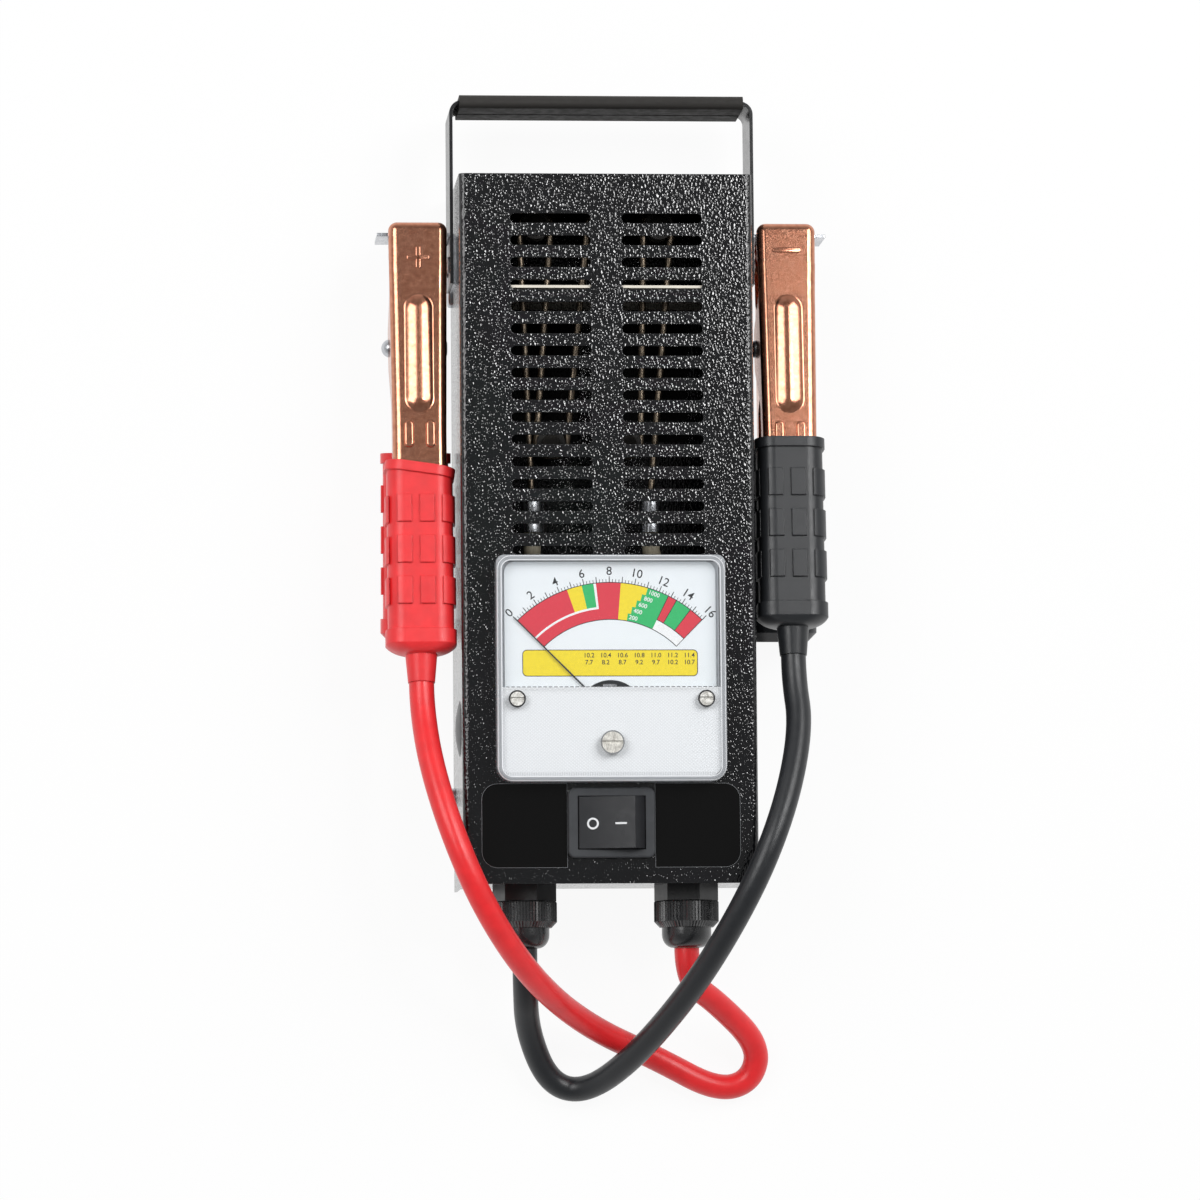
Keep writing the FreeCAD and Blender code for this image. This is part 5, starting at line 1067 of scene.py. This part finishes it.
@dataclass
class MeterTrim(Trim):
    """Small trim of the meter: painted shadow rings round its screws and the dashed upper edge of the apron.
    """

    face: float = 66.0 * MM
    proud: float = 0.05 * MM
    screw_head: float = 0.40 * MM
    screws: tuple[Flat, ...] = ((-33.7 * MM, -62.3 * MM), (33.7 * MM, -62.3 * MM))
    screw_ring: Flat = (3.05 * MM, 2.5 * MM)
    zero: Flat = (0.0, -77.9 * MM)
    zero_face: float = 67.28 * MM
    zero_ring: Flat = (4.25 * MM, 3.8 * MM)
    dash: Flat = (1.3 * MM, 0.34 * MM)
    dash_pitch: float = 1.9 * MM
    dash_count: int = 40
    dash_y: float = -58.1 * MM

    def dashes(self) -> Piece:
        """Makes one dash and copies it along the apron's upper edge."""
        first = -self.dash_pitch * (self.dash_count - 1) / 2
        low = (first - self.dash[0] / 2, self.dash_y - self.dash[1] / 2)
        high = (first + self.dash[0] / 2, self.dash_y + self.dash[1] / 2)
        made = Bench.plate("apron_dashes", low, high, self.face, self.proud, self.dash[1] / 3)
        row = made.modifiers.new("row", "ARRAY")
        row.count = self.dash_count
        row.use_relative_offset = False
        row.use_constant_offset = True
        row.constant_offset_displace = (self.dash_pitch, 0.0, 0.0)
        bpy.ops.object.modifier_apply(modifier="row")
        return made

    def build(self) -> None:
        """Makes the trim."""
        # The dark rings round the cover screws are painted shadow.
        for name, place in zip(("left_screw_ring", "right_screw_ring"), self.screws):
            made = Bench.ring(name, (*place, self.face), *self.screw_ring, self.screw_head + self.proud)
            fix(made, self.finishes["screw_shadow"], Body.CASE)
        made = Bench.ring("zero_ring", (*self.zero, self.zero_face), *self.zero_ring, self.proud)
        fix(made, self.finishes["grey_edging"], Body.ZERO)
        fix(self.dashes(), self.finishes["grey_edging"], Body.CASE)


@dataclass
class Stickers(Trim):
    """Two bare glossy stickers beside the switch."""

    inner: float = 15.8 * MM
    outer: float = 46.0 * MM
    bottom: float = -121.7 * MM
    top: float = -92.0 * MM
    face: float = 58.0 * MM
    thickness: float = 0.18 * MM
    corner: float = 5.5 * MM
    # Width of the painted highlight rim past the sticker's outline.
    margin: float = 0.14 * MM

    def film(self, side: int, name: str, thickness: float, margin: float, finish: str) -> None:
        """Makes one layer of a sticker, rounded at its two outer corners.

        Args:
            side: -1 for the left sticker and 1 for the right.
            name: Piece name.
            thickness: Its thickness.
            margin: How far it reaches past the sticker's outline.
            finish: Name of its finish.
        """
        edges = sorted((side * self.inner, side * self.outer))
        made = Bench.plate(
            name, (edges[0] - margin, self.bottom - margin), (edges[1] + margin, self.top + margin),
            self.face, thickness, self.corner + margin,
            lambda place: side * place.x > (self.inner + self.outer) / 2,
        )
        fix(made, self.finishes[finish], Body.CASE)

    def build(self) -> None:
        """Makes both stickers, each with a pale rim that is a painted highlight along the sticker's edge."""
        for side, name in ((-1, "left_sticker"), (1, "right_sticker")):
            self.film(side, name, self.thickness, 0.0, "sticker_film")
            # The pale rim under each sticker's outline is a painted highlight of its edge.
            self.film(side, name + "_edge", self.thickness / 2, self.margin, "grey_edging")


@dataclass
class SwitchMarks(Trim):
    """The ring and the bar printed on the rocker's dished top."""

    axis: Point = (0.0, -106.0 * MM, 54.369 * MM)
    tilt: float = -12.0
    top: float = 8.2 * MM
    dish: float = 0.5 * MM
    reach: float = 10.0 * MM
    proud: float = 0.03 * MM
    layer: float = 0.05 * MM
    ring_x: float = -5.2 * MM
    bar_x: float = 4.9 * MM
    drop: float = 0.4 * MM
    half: float = 2.1 * MM
    stroke: float = 0.7 * MM

    def height(self, x: float) -> float:
        """Z of the dished top at a distance from the rocker's middle, before it tilts."""
        return self.axis[2] + self.top + self.dish * (x / self.reach) ** 2 + self.proud

    def ring(self) -> Piece:
        """Makes the ring lying flat."""
        place = (self.ring_x, self.middle(), self.height(self.ring_x))
        return Bench.ring("ring", place, self.half, self.half - self.stroke, self.layer)

    def middle(self) -> float:
        """Y of both marks."""
        return self.axis[1] - self.drop

    def bar(self) -> Piece:
        """Makes the bar lying flat."""
        low = (self.bar_x - self.half, self.middle() - self.stroke / 2)
        high = (self.bar_x + self.half, self.middle() + self.stroke / 2)
        return Bench.plate("bar", low, high, self.height(self.bar_x), self.layer, self.stroke / 3)

    def lay(self, made: Piece, x: float) -> Piece:
        """Tilts a mark to the slope of the dish under it, and then with the rocker.

        Args:
            made: The mark.
            x: Its distance from the rocker's middle.

        Returns:
            The mark.
        """
        slope = math.atan(2 * self.dish * x / self.reach ** 2)
        dished = swing((x, self.axis[1], self.height(x)), -slope, "Y")
        made.matrix_world = swing(self.axis, math.radians(self.tilt), "Y") @ dished
        return Bench.named(made.name)

    def build(self) -> None:
        """Makes both marks."""
        marks = [self.lay(self.ring(), self.ring_x), self.lay(self.bar(), self.bar_x)]
        fix(Bench.join(marks, "switch_marks"), self.finishes["switch_mark"], Body.ROCKER)


@dataclass
class GlandNuts(Trim):
    """The dome nut of each cable gland: a finely ribbed grip, a chamfer and a round dome."""

    middle: Flat = (-29.2 * MM, 29.0 * MM)
    back: float = -132.5 * MM
    bore: float = 9.4 * MM
    reach: float = 11.65 * MM
    nick: float = 0.4 * MM
    grip: float = 7.4 * MM
    chamfer: Flat = (2.0 * MM, 2.1 * MM)
    ribs: int = 60
    rib_depth: float = 0.4 * MM
    dome: float = 8.9 * MM
    dome_start: float = 2.4 * MM
    dome_round: float = 4.9 * MM
    mouth: float = 4.75 * MM
    steps: int = 7
    crease: float = 25.0

    def profile(self) -> list[Flat]:
        """Gives the radius and the distance from the back of each ring, from the back to the mouth."""
        shoulder = self.grip + self.chamfer[1]
        rings = [
            (self.bore, 0.0), (self.reach - self.nick, 0.0), (self.reach, self.nick), (self.reach, self.grip),
            (self.reach - self.chamfer[0], shoulder), (self.dome, shoulder),
        ]
        for step in range(self.steps + 1):
            turn = math.pi / 2 * step / self.steps
            radius = self.mouth + (self.dome - self.mouth) * math.cos(turn)
            rings.append((radius, shoulder + self.dome_start + self.dome_round * math.sin(turn)))
        return rings

    def scale(self, share: float, along: float) -> None:
        """Scales the selection about the nut's axis, at a distance from its back."""
        centre = (self.middle[0], self.back - along, self.middle[1])
        bpy.ops.transform.resize(value=(share, 1, share), center_override=centre)

    def turned(self) -> Piece:
        """Draws a circle out ring by ring along the profile."""
        Bench.clear()
        centre = (self.middle[0], self.back, self.middle[1])
        rings = self.profile()
        bpy.ops.mesh.primitive_circle_add(
            vertices=2 * self.ribs, radius=rings[0][0], location=centre, rotation=(math.pi / 2, 0, 0),
        )
        made = Bench.named("gland_nut")
        bpy.ops.object.mode_set(mode="EDIT")
        bpy.ops.mesh.select_all(action="SELECT")
        for (before, start), (radius, along) in zip(rings, rings[1:]):
            bpy.ops.mesh.extrude_edges_move(TRANSFORM_OT_translate={"value": (0, start - along, 0)})
            self.scale(radius / before, along)
        bpy.ops.mesh.select_all(action="SELECT")
        bpy.ops.mesh.normals_make_consistent(inside=False)
        return made

    def in_groove(self, place: Vector) -> bool:
        """Says whether a vertex of the grip lies in a groove."""
        across = math.hypot(place.x - self.middle[0], place.z - self.middle[1])
        turn = math.atan2(place.z - self.middle[1], place.x - self.middle[0])
        return across > self.reach - self.nick / 2 and round(turn / math.pi * self.ribs) % 2 == 0

    def build(self) -> None:
        """Makes one nut and its copy for the other gland."""
        nut = self.turned()
        Bench.pick(self.in_groove)
        self.scale(1 - self.rib_depth / self.reach, 0.0)
        bpy.ops.object.mode_set(mode="OBJECT")
        bpy.ops.object.shade_smooth_by_angle(angle=math.radians(self.crease))
        other = Bench.twin(nut, (-2 * self.middle[0], 0.0, 0.0))
        for made, colour in ((nut, "black"), (other, "red")):
            made.name = colour + "_lead_nut"
            fix(made, self.finishes["nut_nylon"], Body.CASE)
            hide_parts(colour + "_gland_nut")


@dataclass
class Lead:
    """One soft lead from its gland to its clamp's grip."""

    name: str
    node: str
    route: tuple[Point, ...]
    length: float
    finish: Material
    slot: str
    radius: float = 4.5 * MM
    round_steps: int = 7
    run_steps: int = 14

    def build(self) -> None:
        points = [tuple(value * MM for value in place) for place in self.route]
        made = Bench.wire(self.name, "NURBS", points, self.radius, self.round_steps)
        spline = made.data.splines[0]
        spline.order_u = 3
        spline.use_endpoint_u = True
        spline.resolution_u = self.run_steps
        fix(made, self.finish, Body.CASE)
        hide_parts(self.node)


@dataclass
class Leads(Trim):
    """The red and the black lead, each drawn from its gland to its grip in millimetres."""

    red_length: float = 0.2953
    black_length: float = 0.2694
    red: tuple[Point, ...] = (
        (29.2, -149.4, 29.0), (29.2, -161.4, 29.0), (40.5, -168.5, 21.0), (57.2, -183.8, 8.5),
        (54.6, -196.8, 4.9), (42.0, -200.2, 4.7), (20.5, -188.5, 4.7), (-6.5, -176.5, 15.5),
        (-28.0, -161.0, 47.0), (-45.0, -138.0, 66.0), (-56.5, -112.0, 69.0), (-64.0, -86.0, 60.5),
        (-66.8, -64.22, 50.68), (-66.8, -55.25, 49.88),
    )
    black: tuple[Point, ...] = (
        (-29.2, -149.4, 29.0), (-29.2, -161.4, 29.0), (-27.5, -178.5, 13.0), (-19.2, -197.2, 4.7),
        (-6.0, -200.6, 4.8), (10.0, -189.0, 23.0), (29.0, -165.5, 47.0), (43.0, -142.0, 63.0),
        (54.5, -118.5, 69.5), (63.5, -94.0, 64.0), (68.4, -70.5, 55.5), (66.8, -54.56, 49.82),
        (66.8, -45.59, 49.02),
    )

    def build(self) -> None:
        """Makes both leads."""
        for colour, route, length in (
            ("red", self.red, self.red_length), ("black", self.black, self.black_length),
        ):
            cable = colour + "_cable"
            Lead(colour + "_lead_cord", colour + "_lead", route, length, self.finishes[cable], cable).build()


@dataclass
class JawSprings(Trim):
    """The torsion spring on each clamp's pivot."""

    clamp: float = 66.8 * MM
    pivot: Flat = (68.0 * MM, 29.0 * MM)
    coil: float = 4.6 * MM
    wire: float = 1.0 * MM
    pitch: float = 2.6 * MM
    turns: int = 3
    splay: float = 22.0
    leg: float = 20.0 * MM
    per_turn: int = 24
    round_steps: int = 3

    def coil_point(self, side: int, share: float) -> Point:
        """Gives a point on a spring's coil.

        Args:
            side: -1 for the left clamp and 1 for the right.
            share: 0 at one end of the coil and 1 at the other.

        Returns:
            The point.
        """
        turn = self.first_angle() - self.sweep() * share
        width = self.pitch * self.sweep() / (2 * math.pi)
        return (
            side * self.clamp + width * (share - 0.5),
            self.pivot[0] + self.coil * math.cos(turn), self.pivot[1] + self.coil * math.sin(turn),
        )

    def first_angle(self) -> float:
        """Angle where the coil starts."""
        return math.pi / 2 - math.radians(self.splay)

    def sweep(self) -> float:
        """Angle that the whole coil turns through."""
        return 2 * math.pi * self.turns + math.pi - 2 * math.radians(self.splay)

    def line(self, side: int) -> list[Point]:
        """Gives the points of one spring's wire.

        Args:
            side: -1 for the left clamp and 1 for the right.

        Returns:
            The points from leg to leg.
        """
        count = round(self.sweep() / (2 * math.pi) * self.per_turn)
        coil = [self.coil_point(side, step / count) for step in range(count + 1)]
        reach = self.leg * math.cos(math.radians(self.splay))
        spread = self.leg * math.sin(math.radians(self.splay))
        front = (coil[0][0], coil[0][1] - reach, coil[0][2] + spread)
        rear = (coil[-1][0], coil[-1][1] - reach, coil[-1][2] - spread)
        return [front, *coil, rear]

    def build(self) -> None:
        """Winds both springs."""
        for side, name in ((-1, "red_jaw_spring"), (1, "black_jaw_spring")):
            Bench.wire(name + "_wire", "POLY", self.line(side), self.wire, self.round_steps)
            bpy.ops.object.convert(target="MESH")
            made = Bench.named(name + "_wire")
            fix(made, self.finishes["bright_steel"], Body.CASE)
            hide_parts(name)


@dataclass
class JawSigns(Trim):
    """The plus and the minus pressed up in the webs of the front jaws."""

    plus: Flat = (-66.8 * MM, 99.1 * MM)
    minus: Flat = (66.7 * MM, 102.3 * MM)
    plus_arms: Flat = (4.2 * MM, 4.2 * MM)
    minus_arm: float = 5.2 * MM
    stroke: float = 2.0 * MM
    web_start: Flat = (86.0 * MM, 44.2 * MM)
    web_end: Flat = (112.4 * MM, 42.8 * MM)
    sunk: float = 0.3 * MM
    proud: float = 0.45 * MM
    round: float = 0.4 * MM
    round_steps: int = 4
    end_round: float = 0.8

    def bar(self, centre: Flat, half: Flat) -> Piece:
        """Makes one raised bar with rolled edges, lying level.

        Args:
            centre: Its middle.
            half: Half its length along X and along Y.

        Returns:
            The bar.
        """
        low = (centre[0] - half[0], centre[1] - half[1])
        high = (centre[0] + half[0], centre[1] + half[1])
        rise = self.web_height(centre[1]) - self.sunk
        made = Bench.plate("bar", low, high, rise, self.sunk + self.proud, min(half) * self.end_round)
        soften = made.modifiers.new("rolled", "BEVEL")
        soften.width = self.round
        soften.segments = self.round_steps
        bpy.ops.object.modifier_apply(modifier="rolled")
        bpy.ops.object.shade_smooth()
        return made

    def web_height(self, y: float) -> float:
        """Z of the web's face at a distance along the jaw."""
        share = (y - self.web_start[0]) / (self.web_end[0] - self.web_start[0])
        return self.web_start[1] + share * (self.web_end[1] - self.web_start[1])

    def lay(self, made: Piece, centre: Flat) -> Piece:
        """Tilts a sign to the slope of the web.

        Args:
            made: The sign.
            centre: Its middle.

        Returns:
            The sign.
        """
        run = self.web_end[0] - self.web_start[0]
        slope = math.atan((self.web_end[1] - self.web_start[1]) / run)
        made.matrix_world = swing((*centre, self.web_height(centre[1])), slope, "X")
        return Bench.named(made.name)

    def build(self) -> None:
        """Presses both signs."""
        half = self.stroke / 2
        across = self.bar(self.plus, (self.plus_arms[0], half))
        along = self.bar(self.plus, (half, self.plus_arms[1]))
        plus = self.lay(Bench.join([across, along], "plus_sign"), self.plus)
        minus = self.bar(self.minus, (self.minus_arm, half))
        minus.name = "minus_sign"
        for sign in (plus, self.lay(minus, self.minus)):
            fix(sign, self.finishes["copper_plate"], Body.CASE)


@dataclass(frozen=True)
class Lamp:
    """A square soft light that faces the tester."""

    name: str
    place: Point
    side: float
    watts: float
    target: Point = (0.0, -0.02, 0.04)

    def build(self) -> None:
        """Hangs the lamp."""
        light = bpy.data.lights.new(self.name, "AREA")
        light.shape = "SQUARE"
        light.size = self.side
        light.energy = self.watts
        made = bpy.data.objects.new(self.name, light)
        bpy.context.collection.objects.link(made)
        made.location = self.place
        facing = Vector(self.target) - Vector(self.place)
        made.rotation_euler = facing.to_track_quat("-Z", "Y").to_euler()


@dataclass
class Studio:
    """Floor, soft light, world and the photograph's camera."""

    eye: Point = (-0.17753, -0.23834, 2.21328)
    right: Point = (0.99678, -0.00878, 0.0797)
    up: Point = (0.00094, 0.99519, 0.09795)
    ahead: Point = (0.08017, 0.09756, -0.992)
    focal: float = 6092.0
    far: float = 20.0
    floor_half: float = 3.0
    floor_rise: float = -0.4 * MM
    floor_roughness: float = 0.8
    floor_specular: float = 0.1
    # Painted shade of the floor under the tester's footprint.
    floor_dark: Colour = shade(24, 24, 24)
    floor_light: Colour = shade(240, 240, 240)
    footprint: Flat = (50.0 * MM, 125.0 * MM)
    fade: float = 8.0 * MM
    glow: float = 0.93
    horizon: float = 0.7
    zenith: float = 0.24
    dimming: Flat = (0.15, 0.7)
    lamps: tuple[Lamp, ...] = (
        Lamp("left_lamp", (-0.95, 0.45, 1.5), 1.0, 14.5),
        Lamp("right_lamp", (0.95, 0.7, 1.4), 1.0, 15.5),
        Lamp("sparkle_lamp", (0.52, 0.36, 1.5), 0.2, 3.4),
    )

    def camera(self) -> None:
        """Sets the camera up as the photograph's was."""
        lens = bpy.data.cameras.new("photo_camera")
        lens.sensor_width = SENSOR
        lens.lens = self.focal * SENSOR / PICTURE
        lens.clip_end = self.far
        made = bpy.data.objects.new("photo_camera", lens)
        bpy.context.collection.objects.link(made)
        axes = Matrix((self.right, self.up, [-value for value in self.ahead])).transposed()
        made.matrix_world = Matrix.Translation(self.eye) @ axes.to_4x4()
        bpy.context.scene.camera = made

    def world(self) -> None:
        """Gives the room: white round the horizon and dimmer overhead."""
        world = bpy.data.worlds.new("room")
        bpy.context.scene.world = world
        world.use_nodes = True
        tree = world.node_tree
        parts = tree.nodes.new("ShaderNodeSeparateXYZ")
        coords = tree.nodes.new("ShaderNodeTexCoord")
        fade = tree.nodes.new("ShaderNodeMapRange")
        fade.inputs["From Min"].default_value = self.dimming[0]
        fade.inputs["From Max"].default_value = self.dimming[1]
        fade.inputs["To Min"].default_value = self.horizon
        fade.inputs["To Max"].default_value = self.zenith
        tree.links.new(coords.outputs["Generated"], parts.inputs["Vector"])
        tree.links.new(parts.outputs["Z"], fade.inputs["Value"])
        tree.links.new(fade.outputs["Result"], tree.nodes["Background"].inputs["Strength"])
        tree.nodes["Background"].inputs["Color"].default_value = WHITE

    def floor(self) -> None:
        """Lays a plain white floor that keeps the tester's shadow, with painted shade under the tester's
        footprint.
        """
        half = self.floor_half
        Bench.sheet((-half, -half), (half, half), self.floor_rise)
        made = Bench.named("studio_floor")
        graph = Graph("studio_floor")
        graph.set(Roughness=self.floor_roughness, Specular_IOR_Level=self.floor_specular)
        path = graph.node("LightPath")
        seen = graph.math("MAXIMUM", path.outputs["Is Camera Ray"], path.outputs["Is Glossy Ray"])
        seen = graph.math("MAXIMUM", seen, path.outputs["Is Transmission Ray"])
        glow = graph.node("Emission", Color=WHITE, Strength=1.0)
        mix = graph.node("MixShader")
        parts = graph.node("SeparateXYZ")
        graph.link(graph.place(), parts.inputs["Vector"])
        # Under the tester's footprint the floor is painted dark and does not glow: painted shade.
        open_floor = []
        for axis, half in zip("XY", self.footprint):
            away = graph.math("ABSOLUTE", parts.outputs[axis])
            open_floor.append(graph.ramp(away, half - self.fade, half, 0.0, 1.0))
        lit = graph.math("MAXIMUM", open_floor[0], open_floor[1])
        graph.feed("Base Color", graph.blend(lit, self.floor_dark, self.floor_light))
        graph.link(graph.math("MULTIPLY", seen, graph.math("MULTIPLY", lit, self.glow)), mix.inputs[0])
        graph.link(graph.shader.outputs[0], mix.inputs[1])
        graph.link(glow.outputs[0], mix.inputs[2])
        graph.link(mix.outputs[0], graph.output.inputs["Surface"])
        made.data.materials.append(graph.material)

    def build(self) -> None:
        """Sets up the whole studio."""
        bpy.context.scene.view_settings.view_transform = "Standard"
        self.world()
        self.floor()
        for lamp in self.lamps:
            lamp.build()
        self.camera()


def main() -> None:
    """Builds the scene piece by piece."""
    logging.basicConfig(level=logging.INFO, format="%(name)s: %(message)s")
    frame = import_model()
    Studio().build()
    finishes = Finishes()
    for trim in (Leads, GlandNuts):
        trim(finishes).build()
    finishes.dress(frame)
    Dial().build()
    for trim in (MeterTrim, Stickers, SwitchMarks, JawSprings, JawSigns):
        trim(finishes).build()


if __name__ == "__main__":
    main()
